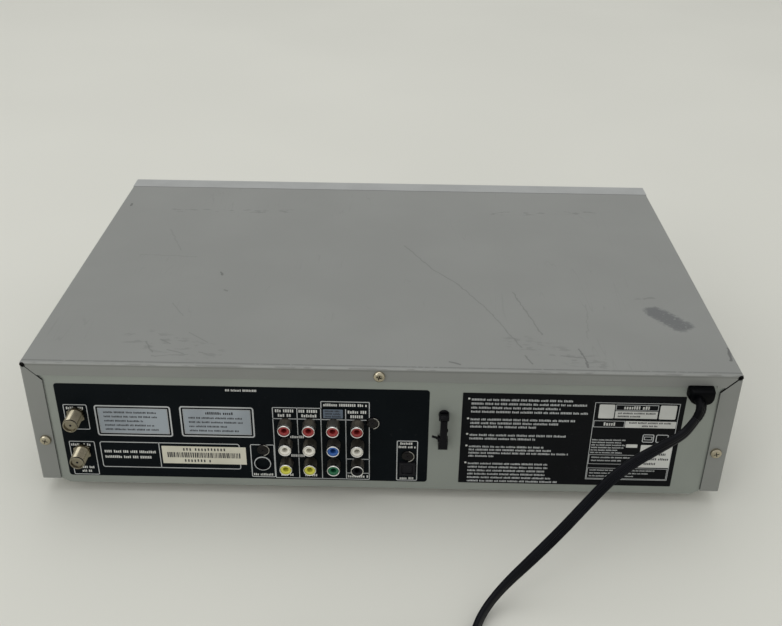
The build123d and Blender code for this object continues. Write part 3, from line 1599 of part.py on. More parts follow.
# Cord clip: a base that snaps into two holes of the panel, with a strap hinged at its top
clip_block = (6.2, 8.0, 4.4)
clip_plate = (6.2, 8.4, 1.2)
clip_cheek = 0.7
clip_cheek_depth = 5.6
clip_strap_size = (4.4, 2.2)
clip_eye = 2.3
clip_pin = 0.9
clip_pivot_drop = 0.6
clip_pivot_out = 4.2
clip_tab = (4.8, 1.6)
clip_tab_turn = -20.0
clip_tab_rise = 1.6
clip_strap_end = 2.6
clip_bevel = 0.8
clip_stub = 3.0
clip_pivot_y = panel_y + clip_pivot_out
clip_pivot_z = clip_head_z + clip_pivot_drop
clip_block_top = clip_foot_z + clip_block[1] / 2

with BuildPart() as cord_clip:
    with BuildSketch(upright(panel_y)):
        with Locations((clip_x, clip_foot_z)):
            Rectangle(clip_block[0], clip_block[1])
    extrude(amount=-clip_block[2])
    chamfer(cord_clip.faces().sort_by(Axis.Y)[-1].edges(), clip_bevel)
    with BuildSketch(upright(panel_y)):
        with Locations((clip_x, clip_pivot_z)):
            Rectangle(clip_plate[0], clip_plate[1])
    extrude(amount=-clip_plate[2])
    for side in (-1, 1):
        with BuildSketch(Plane.YZ.offset(clip_x + side * clip_plate[0] / 2)):
            with Locations((panel_y, clip_pivot_z)):
                Rectangle(clip_pivot_out, 2 * clip_eye, align=(Align.MIN, Align.CENTER))
            with Locations((clip_pivot_y, clip_pivot_z)):
                RegularPolygon(clip_eye, few, major_radius=False)
        extrude(amount=-side * clip_cheek)
    with BuildSketch(Plane.YZ.offset(clip_x - clip_plate[0] / 2)):
        with Locations((clip_pivot_y, clip_pivot_z)):
            RegularPolygon(clip_pin, few)
    extrude(amount=clip_plate[0])
    with BuildSketch(upright(panel_y)):
        with Locations((clip_x, clip_head_z), (clip_x, clip_foot_z)):
            Rectangle(clip_stub, clip_stub)
    extrude(amount=clip_stub)
save(cord_clip.part, "cord_clip")

with BuildPart() as clip_strap:
    with BuildSketch(Plane.YZ.offset(clip_x - clip_strap_size[0] / 2)):
        with Locations((clip_pivot_y, clip_pivot_z)):
            RegularPolygon(clip_eye, few, major_radius=False)
        with Locations((panel_y + clip_block[2] + loose, clip_block_top - clip_strap_end)):
            Rectangle(
                clip_strap_size[1],
                clip_pivot_z - clip_block_top + clip_strap_end,
                align=(Align.MIN, Align.MIN),
            )
        with Locations((clip_pivot_y, clip_pivot_z)):
            RegularPolygon(clip_pin + running, few, major_radius=False, mode=Mode.SUBTRACT)
    extrude(amount=clip_strap_size[0])
    with BuildSketch(upright(panel_y + clip_block[2] + loose)):
        with Locations((clip_x, clip_block_top + clip_tab_rise)):
            Rectangle(
                clip_strap_size[0] / 2 + clip_tab[0],
                clip_tab[1],
                rotation=clip_tab_turn,
                align=(Align.MIN, Align.CENTER),
            )
    extrude(amount=-clip_strap_size[1])
save(clip_strap.part, "clip_strap")

# Mains lead: a flat cord from the boot down to the floor, then a flat double coil
cord_width = 6.8
cord_thick = 3.5
cord_section = cord_width * cord_thick
cord_low = cord_width / 2
lead_exit_run = 7.0
lead_x = grommet_x + 143.8
run_share = 0.45
guide_reach = 10.0
coil_radius = 44.0
turn_pitch = 4.2
layer_rise = 7.3
turns_in = 4
coil_y = 318.0
coil_x = lead_x + coil_radius
coil_entry = Vector(lead_x, coil_y - cord_width, cord_low)
upward = Vector(0, 0, 1)
route = [
    lead_start,
    lead_start + lead_out * lead_exit_run,
    Vector(grommet_x + 16.0, 165.8, 70.2),
    Vector(grommet_x + 28.8, 173.4, 68.0),
    Vector(grommet_x + 45.0, 183.2, 65.4),
    Vector(grommet_x + 59.8, 192.2, 59.2),
    Vector(grommet_x + 73.3, 200.4, 47.9),
    Vector(grommet_x + 88.3, 209.7, 34.8),
    Vector(grommet_x + 104.8, 219.3, 22.0),
    Vector(grommet_x + 120.3, 228.8, 11.4),
    Vector(grommet_x + 131.3, 240.5, 5.2),
    Vector(grommet_x + 137.4, 254.5, cord_low),
    Vector(grommet_x + 141.4, 272.0, cord_low),
    Vector(lead_x, 292.0, cord_low),
    coil_entry,
]
leans = [lead_wide] * 7 + [upward] * 8


def directions(points):
    """The heading of each run of a route."""
    return [(b - a).normalized() for a, b in zip(points, points[1:])]


def bend_radii(points):
    """The radius of each corner of a route, as large as its two runs allow."""
    radii = []
    for a, b, c in zip(points, points[1:], points[2:]):
        turn = math.radians((b - a).get_angle(c - b))
        radii.append(run_share * min((b - a).length, (c - b).length) / math.tan(turn / 2))
    return radii


def square_to(lean, heading):
    """A lean made square to a heading."""
    return (lean - heading * lean.dot(heading)).normalized()


headings = directions(route)
corner_headings = [headings[0]]
corner_headings += [(a + b).normalized() for a, b in zip(headings, headings[1:])]
corner_headings += [headings[-1]]
guide_points = [
    point + square_to(lean, heading) * guide_reach
    for point, lean, heading in zip(route, leans, corner_headings)
]

with BuildPart() as power_cord:
    with BuildLine() as lead_path:
        FilletPolyline(*route, radius=bend_radii(route))
    with BuildLine(mode=Mode.PRIVATE) as lead_guide:
        FilletPolyline(*guide_points, radius=bend_radii(guide_points))
    with BuildSketch(Plane(origin=lead_start, x_dir=lead_wide, z_dir=lead_out)):
        Rectangle(cord_width, cord_thick)
    sweep(path=lead_path.wire(), binormal=lead_guide.wire())
save(power_cord.part, "power_cord")
print("lead radii", [round(radius, 1) for radius in bend_radii(route)])
print("lead length", lead_path.wire().length, "volume", power_cord.part.volume / cord_section)

# Coil: spirals in along the floor, climbs half a turn and spirals out on top
tail_clear = 4.0
tail_x = 60.0
tail_y = 4.0
tail_run = 8.0
plug_z = 6.0


def bend(start, heading, end, end_heading):
    """Two arcs that leave a point in one heading and arrive at another in a second heading."""
    chord = end - start
    both = heading + end_heading
    spread = 2 * (1 - heading.dot(end_heading))
    along = chord.dot(both)
    reach = (math.sqrt(along**2 + spread * chord.dot(chord)) - along) / spread
    first = start + heading * reach
    second = end - end_heading * reach
    middle = (first + second) / 2
    TangentArc(start, middle, tangent=heading)
    TangentArc(middle, end, tangent=second - first)


coil_stops = []
side = -1
reach = coil_radius
for layer in range(2):
    for step in range(turns_in + 1 - layer):
        height_now = cord_low + layer * layer_rise
        coil_stops.append(Vector(coil_x + side * reach, coil_y, height_now))
        side = -side
        reach += turn_pitch / 2 * (1 if layer else -1)
    reach += turn_pitch / 2
coil_top = cord_low + layer_rise
tail_turn = Vector(coil_x, coil_y + coil_radius + tail_clear, coil_top)
tail_end = Vector(coil_x + tail_x, coil_y + tail_y, plug_z)
plug_entry = tail_end - Vector(0, tail_run, 0)

with BuildPart() as power_cord_coil:
    with BuildLine() as coil_path:
        Line(coil_entry, coil_stops[0])
        heading = Vector(0, 1, 0)
        for start, end in zip(coil_stops, coil_stops[1:]):
            bend(start, heading, end, -heading)
            heading = -heading
        bend(coil_stops[-1], heading, tail_turn, Vector(1, 0, 0))
        bend(tail_turn, Vector(1, 0, 0), tail_end, Vector(0, -1, 0))
        Line(tail_end, plug_entry)
    coil_guide = coil_path.wire().moved(Location((0, 0, guide_reach)))
    with BuildSketch(Plane(origin=coil_entry, x_dir=(0, 0, 1), z_dir=(0, 1, 0))):
        Rectangle(cord_width, cord_thick)
    sweep(path=coil_path.wire(), binormal=coil_guide)
save(power_cord_coil.part, "power_cord_coil")
print("coil length", coil_path.wire().length, "volume", power_cord_coil.part.volume / cord_section)

# Plug: a moulded body with two flat blades
plug_width = 20.0
plug_height = 12.0
plug_length = 20.0
plug_neck = (14.0, 10.0)
plug_neck_length = 11.0
plug_neck_draft = 6.0
plug_bevel = 2.0
blade_thick = 1.5
blade_length = 17.0
blade_pitch = 12.7
blade_heights = (6.35, 7.9)
plug_back_y = plug_entry.Y - plug_neck_length
plug_front_y = plug_back_y - plug_length

with BuildPart() as plug_body:
    with BuildSketch(upright(plug_front_y)):
        with Locations((plug_entry.X, plug_z)):
            Rectangle(plug_width, plug_height)
    extrude(amount=-plug_length)
    chamfer(plug_body.edges().filter_by(Axis.Y), plug_bevel)
    chamfer(plug_body.faces().sort_by(Axis.Y)[-1].edges(), plug_bevel / 2)
    with BuildSketch(upright(plug_back_y)):
        with Locations((plug_entry.X, plug_z)):
            Rectangle(*plug_neck)
    extrude(amount=-plug_neck_length, taper=plug_neck_draft)
save(plug_body.part, "plug_body")

with BuildPart() as plug_blades:
    for side, tall in zip((-1, 1), blade_heights):
        with BuildSketch(upright(plug_front_y)):
            with Locations((plug_entry.X + side * blade_pitch / 2, plug_z)):
                Rectangle(blade_thick, tall)
        extrude(amount=blade_length)
save(plug_blades.part, "plug_blades")
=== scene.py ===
"""Dresses the combined disc and cassette player in its finishes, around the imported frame."""

import json
import logging
import math
import random
from collections.abc import Iterable, Sequence
from dataclasses import dataclass, field
from enum import Enum

import bmesh
import bpy
from mathutils import Matrix, Vector


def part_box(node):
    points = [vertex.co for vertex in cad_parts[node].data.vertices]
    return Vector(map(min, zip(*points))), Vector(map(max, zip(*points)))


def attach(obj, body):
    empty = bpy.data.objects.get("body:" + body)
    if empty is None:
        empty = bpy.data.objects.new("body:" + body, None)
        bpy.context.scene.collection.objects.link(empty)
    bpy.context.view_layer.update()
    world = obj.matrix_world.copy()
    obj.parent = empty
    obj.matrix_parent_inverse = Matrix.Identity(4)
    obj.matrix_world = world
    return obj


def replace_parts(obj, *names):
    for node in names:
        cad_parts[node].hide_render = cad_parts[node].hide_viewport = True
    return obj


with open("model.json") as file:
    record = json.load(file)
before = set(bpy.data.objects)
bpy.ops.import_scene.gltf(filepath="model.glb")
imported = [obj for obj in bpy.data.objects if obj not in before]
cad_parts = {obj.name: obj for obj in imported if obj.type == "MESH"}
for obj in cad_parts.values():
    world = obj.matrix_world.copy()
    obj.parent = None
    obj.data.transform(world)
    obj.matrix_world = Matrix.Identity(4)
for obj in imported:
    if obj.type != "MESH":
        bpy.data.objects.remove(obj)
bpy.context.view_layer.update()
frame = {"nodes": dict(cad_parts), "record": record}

log = logging.getLogger("player")

MM = 0.001
IMAGE_WIDTH = 782
FOCAL_PIXELS = 971.66
SENSOR_MM = 36.0
CASING = "casing"
OUTWARD = Vector((0, 1, 0))
FORWARD = Vector((0, -1, 0))
SIDEWAYS = Vector((1, 0, 0))
UPWARD = Vector((0, 0, 1))

Triple = tuple[float, float, float]
Colour = Triple
Extent = tuple[float, float, float, float]
Profile = Sequence[tuple[float, float]]


def eased(share: float) -> float:
    """A share from 0 to 1, with a soft start and a soft end."""
    return share * share * (3 - 2 * share)


def node_box(node: str) -> tuple[Vector, Vector]:
    """The lowest and highest corners of a node of the frame, in millimetres."""
    low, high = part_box(node)
    return low / MM, high / MM


# Places that the frame gives, in millimetres
PANEL_Y = node_box("rear_panel")[1].y
HALF_WIDTH_OF_COVER, REAR_Y, TOP_Z = node_box("top_cover")[1]
FACE_Y = node_box("front_bezel")[0].y


class Wire:
    """A socket of a shader that takes part in Python expressions."""

    def __init__(self, graph: "Graph", socket: bpy.types.NodeSocket) -> None:
        """Wraps a socket.

        Args:
            graph: The graph that the socket belongs to.
            socket: The output socket.
        """
        self.graph = graph
        self.socket = socket

    def _maths(self, operation: str, first: "Wire | float", second: "Wire | float") -> "Wire":
        """One Math node on two values."""
        return self.graph.out("ShaderNodeMath", {"operation": operation}, {0: first, 1: second})

    def __add__(self, other: "Wire | float") -> "Wire":
        """This value plus another."""
        return self._maths("ADD", self, other)

    def __radd__(self, other: float) -> "Wire":
        """A number plus this value."""
        return self._maths("ADD", other, self)

    def __sub__(self, other: "Wire | float") -> "Wire":
        """This value less another."""
        return self._maths("SUBTRACT", self, other)

    def __rsub__(self, other: float) -> "Wire":
        """A number less this value."""
        return self._maths("SUBTRACT", other, self)

    def __mul__(self, other: "Wire | float") -> "Wire":
        """This value times another."""
        return self._maths("MULTIPLY", self, other)

    def __rmul__(self, other: float) -> "Wire":
        """A number times this value."""
        return self._maths("MULTIPLY", other, self)

    def __truediv__(self, other: "Wire | float") -> "Wire":
        """This value divided by another."""
        return self._maths("DIVIDE", self, other)

    def __abs__(self) -> "Wire":
        """This value without its sign."""
        return self._maths("ABSOLUTE", self, 0.0)

    def most(self, other: "Wire | float") -> "Wire":
        """The larger of this value and another."""
        return self._maths("MAXIMUM", self, other)

    def ramp(self, low: float, high: float) -> "Wire":
        """This value as 0 below one bound and 1 above the other, with a soft step between.

        Args:
            low: The value that gives 0.
            high: The value that gives 1.

        Returns:
            The stepped value.
        """
        settings = {"interpolation_type": "SMOOTHSTEP", "clamp": True}
        return self.graph.out("ShaderNodeMapRange", settings, {0: self, 1: low, 2: high, 3: 0.0, 4: 1.0})


class Graph:
    """The nodes of one material, around its Principled shader."""

    def __init__(self, name: str) -> None:
        """Starts a material.

        Args:
            name: The material's name.
        """
        self.material = bpy.data.materials.new(name)
        self.material.use_nodes = True
        self.tree = self.material.node_tree
        self.shader = self.tree.nodes["Principled BSDF"]
        self._place: Wire | None = None

    def node(self, kind: str, settings: dict, values: dict) -> bpy.types.Node:
        """Adds a node.

        Args:
            kind: The node's type.
            settings: Properties of the node, which are set first.
            values: What each input socket takes, a link or a constant.

        Returns:
            The new node.
        """
        made = self.tree.nodes.new(kind)
        for key, value in settings.items():
            setattr(made, key, value)
        for key, value in values.items():
            self.feed(made.inputs[key], value)
        return made

    def feed(self, socket: bpy.types.NodeSocket, value: "Wire | float | Sequence[float]") -> None:
        """Links or sets one input socket.

        Args:
            socket: The input.
            value: A wire, or a constant.
        """
        if isinstance(value, Wire):
            self.tree.links.new(value.socket, socket)
        else:
            socket.default_value = value

    def out(self, kind: str, settings: dict, values: dict, output: int | str = 0) -> Wire:
        """Adds a node and gives one of its outputs."""
        return Wire(self, self.node(kind, settings, values).outputs[output])

    def place(self) -> Wire:
        """The place on the piece, from a node that is made once.

        Returns:
            The place, in metres of the frame.
        """
        if self._place is None:
            self._place = self.out("ShaderNodeTexCoord", {}, {}, "Object")
        return self._place

    def axes(self) -> tuple[Wire, Wire, Wire]:
        """The place in millimetres, as its X, Y and Z values."""
        split = self.node("ShaderNodeSeparateXYZ", {}, {0: self.place()})
        return tuple(Wire(self, split.outputs[i]) * (1 / MM) for i in range(3))

    def noise(self, size_mm: float, detail: float = 3.0, stretch: Triple = (1, 1, 1)) -> Wire:
        """Soft noise whose spots are about the given size.

        Args:
            size_mm: The size of a spot in millimetres.
            detail: How many finer layers it has.
            stretch: How much denser it is along each axis.

        Returns:
            The noise, about 0 to 1.
        """
        scaled = self.out("ShaderNodeMapping", {}, {"Vector": self.place(), "Scale": stretch})
        values = {"Vector": scaled, "Scale": 1 / (size_mm * MM), "Detail": detail}
        return self.out("ShaderNodeTexNoise", {}, values, "Fac")

    def scratches(self, size_mm: float, turn: float, width: float, bare: float) -> Wire:
        """Thin scratches that run one way and stop and start.

        Args:
            size_mm: The pitch of the scratches in millimetres.
            turn: Their heading about Z, in degrees.
            width: Their width as a share of the pitch.
            bare: The share of the surface that has none, from 0 to 1.

        Returns:
            A mask that is 1 on a scratch.
        """
        heading = (0, 0, math.radians(turn))
        values = {"Vector": self.place(), "Rotation": heading, "Scale": (1.0, 0.06, 1.0)}
        turned = self.out("ShaderNodeMapping", {}, values)
        values = {"Vector": turned, "Scale": 1 / (size_mm * MM), "Detail": 1.0}
        lines = self.out("ShaderNodeTexNoise", {}, values, "Fac")
        thin = 1 - abs(lines - 0.5).ramp(0.0, width)
        return thin * self.noise(38.0, 2.0).ramp(bare, bare + 0.08)

    def stroke(self, place: tuple[Wire, Wire], ends: "Stroke") -> Wire:
        """A mark round the line between two points of the top.

        Args:
            place: The X and Y values in millimetres.
            ends: The mark's two ends and its half width.

        Returns:
            A mask that is 1 on the mark.
        """
        away_x, away_y = place[0] - ends.start[0], place[1] - ends.start[1]
        run_x, run_y = ends.end[0] - ends.start[0], ends.end[1] - ends.start[1]
        length = run_x * run_x + run_y * run_y
        ahead = away_x * run_x + away_y * run_y
        share = self.out("ShaderNodeMath", {"operation": "DIVIDE", "use_clamp": True}, {0: ahead, 1: length})
        off_x, off_y = away_x - share * run_x, away_y - share * run_y
        reach = ends.half * ends.half
        return (1 - (off_x * off_x + off_y * off_y).ramp(reach * 0.25, reach)) * ends.depth

    def mix(self, share: "Wire | float", first: "Wire | Colour", second: "Wire | Colour") -> Wire:
        """A colour between two colours.

        Args:
            share: How much of the second colour it has, from 0 to 1.
            first: The colour at 0.
            second: The colour at 1.

        Returns:
            The mixed colour.
        """
        values = {"Factor": share, "A": self._ink(first), "B": self._ink(second)}
        made = self.tree.nodes.new("ShaderNodeMix")
        made.data_type = "RGBA"
        for socket in made.inputs:
            if socket.name in values and (socket.type == "RGBA" or socket.identifier == "Factor_Float"):
                self.feed(socket, values[socket.name])
        return Wire(self, next(s for s in made.outputs if s.type == "RGBA"))

    @staticmethod
    def _ink(colour: "Wire | Colour") -> "Wire | tuple[float, ...]":
        """A colour with the alpha that its socket wants."""
        return colour if isinstance(colour, Wire) else (*colour, 1.0)

    def bump(self, height: Wire, depth_mm: float, strength: float = 1.0) -> None:
        """Gives the surface a relief.

        Args:
            height: The relief, about 0 to 1.
            depth_mm: How high its tops stand.
            strength: How much it shows.
        """
        values = {"Height": height, "Distance": depth_mm * MM, "Strength": strength}
        self.feed(self.shader.inputs["Normal"], self.out("ShaderNodeBump", {}, values, "Normal"))

    def colour(self, value: "Wire | Colour") -> None:
        """Sets the base colour."""
        self.feed(self.shader.inputs["Base Color"], self._ink(value))

    def set(self, **values: "Wire | float") -> None:
        """Sets the shader's sockets by name, with underscores for spaces."""
        for name, value in values.items():
            self.feed(self.shader.inputs[name.replace("_", " ").title().replace("Ior", "IOR")], value)


class Surface(Enum):
    """The families of finish."""

    MOULDED = "moulded"
    PLATED = "plated"
    SHEET = "sheet"
    RUBBER = "rubber"
    LAMINATE = "laminate"

    def stretch(self) -> Triple:
        """How much denser the grain is along each axis; rolled sheet and plating have drawn-out grain."""
        return {Surface.SHEET: (1.0, 0.05, 1.0), Surface.PLATED: (0.3, 1.0, 1.0)}.get(self, (1.0, 1.0, 1.0))


DUST = (0.42, 0.41, 0.39)


@dataclass(frozen=True)
class Finish:
    """A plain finish: its colour, gloss and grain, with dust and fine wear.

    Attributes:
        colour: Base colour.
        surface: The family it belongs to.
        rough: Roughness of the clean surface.
        grain_mm: Size of the grain.
        relief_mm: Height of the grain.
        shade: How much the colour drifts over the surface.
        dust: How much grey dust lies on it.
        specular: How strongly a clean surface mirrors, 0.5 for common plastic.
    """

    colour: Colour
    surface: Surface = Surface.MOULDED
    rough: float = 0.45
    grain_mm: float = 0.5
    relief_mm: float = 0.02
    shade: float = 0.12
    dust: float = 0.08
    specular: float = 0.5

    def material(self, name: str) -> bpy.types.Material:
        """Builds the material.

        Args:
            name: Its name.

        Returns:
            The material.
        """
        graph = Graph(name)
        grain = graph.noise(self.grain_mm, 4.0, self.surface.stretch())
        clouds = graph.noise(22.0, 3.0)
        fleck = graph.noise(1.6, 2.0)
        dark = tuple(c * (1 - self.shade) for c in self.colour)
        light = tuple(min(1.0, c * (1 + self.shade)) for c in self.colour)
        tone = graph.mix(clouds.ramp(0.3, 0.7), dark, light)
        settled = fleck.ramp(0.62, 0.75) * clouds.ramp(0.45, 0.6) * self.dust
        graph.colour(graph.mix(settled, tone, DUST))
        graph.set(roughness=grain * 0.14 + settled * 0.8 + (self.rough - 0.07))
        graph.set(specular_ior_level=self.specular)
        if self.surface in (Surface.PLATED, Surface.SHEET):
            graph.set(metallic=1.0)
        if self.surface is Surface.LAMINATE:
            graph.set(coat_weight=0.35)
        graph.bump(grain, self.relief_mm)
        return graph.material


@dataclass(frozen=True)
class Stroke:
    """A mark on the cover's top, in millimetres, from one point to another.

    Attributes:
        start: Where it starts.
        end: Where it ends.
        half: Half its width.
        depth: How dark it is, up to 1.
    """

    start: tuple[float, float]
    end: tuple[float, float]
    half: float = 0.5
    depth: float = 0.5


LONG_BEND = ((-13.8, -26.2), (-33.4, 11.0), (-50.5, 32.7), (-68.5, 67.7), (-86.0, 114.7))
SCRATCHES = tuple(Stroke(a, b, 0.55, 0.40) for a, b in zip(LONG_BEND, LONG_BEND[1:])) + (
    Stroke((-87.3, 43.6), (-100.8, 99.0), 0.65, 0.45),
    Stroke((-121.8, 116.0), (-124.6, 137.0), 0.7, 0.7),
    Stroke((-87.6, 124.4), (-91.5, 134.0), 0.6, 0.6),
    Stroke((178.9, -4.2), (137.1, -2.4), 0.7, 0.20),
    Stroke((165.5, -48.6), (149.9, -12.4), 0.6, 0.20),
    Stroke((145.7, 115.6), (139.0, 127.7), 0.6, 0.45),
    Stroke((137.2, 112.7), (129.4, 118.5), 0.6, 0.40),
    Stroke((130.6, 124.9), (119.4, 129.4), 0.6, 0.40),
    Stroke((137.9, 132.4), (116.7, 130.3), 0.6, 0.35),
    Stroke((120.5, 104.5), (107.9, 115.2), 0.5, 0.35),
    Stroke((111.0, 126.7), (105.4, 128.9), 0.6, 0.45),
    Stroke((139.1, 66.9), (128.8, 83.4), 0.5, 0.25),
    Stroke((-134.9, 59.4), (-128.8, 103.1), 0.5, 0.20),
    Stroke((-109.5, 123.7), (-123.3, 125.6), 0.7, 0.45),
    Stroke((114.9, 21.5), (113.4, 25.5), 0.9, 0.8),
    Stroke((108.4, 47.2), (105.6, 49.0), 0.9, 0.6),
    Stroke((206.6, -96.0), (206.4, -91.5), 1.0, 0.9),
    Stroke((-213.8, 112.0), (-212.4, 126.0), 1.4, 0.9),
    Stroke((-41.5, 133.0), (-47.5, 135.5), 0.8, 0.7),
)
SMUDGES = (
    Stroke((170.0, -84.0), (76.0, -86.0), 4.0, 0.50),
    Stroke((-84.0, -89.0), (-163.0, -92.5), 4.5, 0.55),
    Stroke((-166.0, 50.6), (-189.0, 45.7), 2.6, 0.45),
    Stroke((150.0, 112.0), (106.0, 128.0), 13.0, 0.38),
    Stroke((-84.0, 108.0), (-128.0, 132.0), 11.0, 0.38),
)
SCUFF = Stroke((-178.5, 67.5), (-191.5, 85.0), 8.8, 1.0)


@dataclass(frozen=True)
class CoverPaint:
    """Satin paint on the folded cover, with its scratches, its scuff and its worn bends, a painted highlight
    along the rear bend and painted shade just under it.

    Attributes:
        colour: The clean paint.
        scratched: The paint in a scratch.
        smeared: The crumbs of a smudge.
        scuffed: The large scuff.
        dark_line_colour: The dark line just before the rear bend.
        painted_bend_highlight: A painted highlight, a lighter band of the paint along the rear bend.
        bared: The worn spots of the bend.
        painted_shade_under_bend: Painted shade, a darker line just below the bend.
        seam: The gap between the cover and the bezel.
        seam_y: Where that gap lies.
    """

    colour: Colour = (0.232, 0.239, 0.227)
    scratched: Colour = (0.105, 0.108, 0.105)
    smeared: Colour = (0.125, 0.128, 0.125)
    scuffed: Colour = (0.095, 0.100, 0.105)
    dark_line_colour: Colour = (0.085, 0.088, 0.085)
    # Painted highlight: the lighter colour of the band along the rear bend.
    painted_bend_highlight: Colour = (0.50, 0.51, 0.48)
    bared: Colour = (0.12, 0.12, 0.115)
    # Painted shade: the darker line just below the rear bend.
    painted_shade_under_bend: Colour = (0.12, 0.125, 0.115)
    seam: Colour = (0.06, 0.06, 0.06)
    seam_y: float = -132.75

    def material(self, name: str) -> bpy.types.Material:
        """Builds the material.

        Args:
            name: Its name.

        Returns:
            The material.
        """
        graph = Graph(name)
        x, y, z = graph.axes()
        clouds = graph.noise(70.0, 3.0)
        orange = graph.noise(0.9, 3.0)
        rub = graph.noise(2.2, 4.0)
        sway = graph.noise(6.0, 3.0) - 0.5
        crumbs = graph.noise(3.4, 4.0, (0.35, 1.0, 1.0)).ramp(0.54, 0.62)
        tone = graph.mix(clouds.ramp(0.3, 0.72), tuple(c * 0.94 for c in self.colour), self.colour)
        on_top = z.ramp(TOP_Z - 1.0, TOP_Z - 0.2)
        place = (x + sway * 5.0, y - sway * 4.0)
        lines = graph.scratches(9.0, 24.0, 0.010, 0.56) * 0.14
        for scratch in SCRATCHES:
            lines = lines.most(graph.stroke(place, scratch))
        lines = lines * on_top
        smears = graph.stroke(place, SMUDGES[0])
        for smudge in SMUDGES[1:]:
            smears = smears.most(graph.stroke(place, smudge))
        smears = smears * crumbs * on_top
        ragged = (place[0] + (rub - 0.5) * 7.0, place[1] + (rub - 0.5) * 5.0)
        scuff = graph.stroke(ragged, SCUFF) * rub.ramp(0.20, 0.42) * on_top
        # The bend mask carries the painted highlight along the rear bend and, through the worn mask, the real
        # worn spots on it.
        bend = z.ramp(TOP_Z - 1.1, TOP_Z - 0.5) * y.ramp(REAR_Y - 1.1, REAR_Y - 0.5)
        worn = bend * graph.noise(3.0, 4.0, (0.2, 1, 1)).ramp(0.50, 0.62)
        front_seam = (1 - abs(y - self.seam_y).ramp(0.35, 0.75)) * on_top
        # A broken dark line on the top, just before the rear bend.
        dark_line_mask = (1 - abs(y - (REAR_Y - 2.8)).ramp(0.2, 0.9)) * on_top * rub.ramp(0.28, 0.44)
        # Painted shade: a darker line on the flange just below the rear bend.
        shade_under_bend = (1 - abs(z - (TOP_Z - 1.5)).ramp(0.2, 0.8)) * y.ramp(REAR_Y - 0.5, REAR_Y - 0.1)
        # Besides the real scratches, smudges, scuff and worn spots, these layers paint a highlight on the
        # rear bend and shade just under it.
        for share, colour in (
            (lines, self.scratched), (smears, self.smeared), (scuff * 0.72, self.scuffed),
            (dark_line_mask * 0.60, self.dark_line_colour), (bend * 0.12, self.painted_bend_highlight), (worn * 0.50, self.bared),
            (shade_under_bend * 0.40, self.painted_shade_under_bend), (front_seam * 0.7, self.seam),
        ):
            tone = graph.mix(share, tone, colour)
        graph.colour(tone)
        graph.set(roughness=orange * 0.10 + lines * 0.10 + scuff * 0.2 + 0.40, metallic=0.25)
        graph.bump(orange * 0.6 - lines * 0.8, 0.02)
        return graph.material


@dataclass(frozen=True)
class PanelPaint:
    """Satin paint on the flat rear panel, a little greener than the cover's, with faint rub marks.

    Attributes:
        colour: The clean paint.
        rubbed: The rub marks.
    """

    colour: Colour = (0.262, 0.283, 0.257)
    rubbed: Colour = (0.17, 0.17, 0.16)

    def material(self, name: str) -> bpy.types.Material:
        """Builds the material.

        Args:
            name: Its name.

        Returns:
            The material.
        """
        graph = Graph(name)
        clouds = graph.noise(45.0, 3.0)
        orange = graph.noise(0.8, 3.0)
        marks = graph.noise(2.2, 4.0).ramp(0.70, 0.78)
        tone = graph.mix(clouds.ramp(0.3, 0.7), tuple(c * 0.92 for c in self.colour), self.colour)
        graph.colour(graph.mix(marks * 0.25, tone, self.rubbed))
        graph.set(roughness=orange * 0.10 + 0.42, metallic=0.25)
        graph.bump(orange, 0.012)
        return graph.material


@dataclass(frozen=True)
class LabelPrint:
    """Ink or foil of the printed areas: almost flat, with rubbed spots and a faint weave.

    Attributes:
        colour: Base colour.
        rough: Roughness of the clean surface.
        rubbed: How much the rubbed spots show.
        specular: How strongly it mirrors.
    """

    colour: Colour
    rough: float = 0.5
    rubbed: float = 0.1
    specular: float = 0.15

    def material(self, name: str) -> bpy.types.Material:
        """Builds the material.

        Args:
            name: Its name.

        Returns:
            The material.
        """
        graph = Graph(name)
        rub = graph.noise(2.6, 4.0)
        cloud = graph.noise(30.0, 2.0)
        tone = graph.mix(cloud.ramp(0.35, 0.65), tuple(c * 0.85 for c in self.colour), self.colour)
        graph.colour(graph.mix(rub.ramp(0.64, 0.76) * self.rubbed, tone, (0.30, 0.30, 0.30)))
        graph.set(roughness=rub * 0.15 + (self.rough - 0.07), specular_ior_level=self.specular)
        graph.bump(graph.noise(0.35, 2.0), 0.006)
        return graph.material


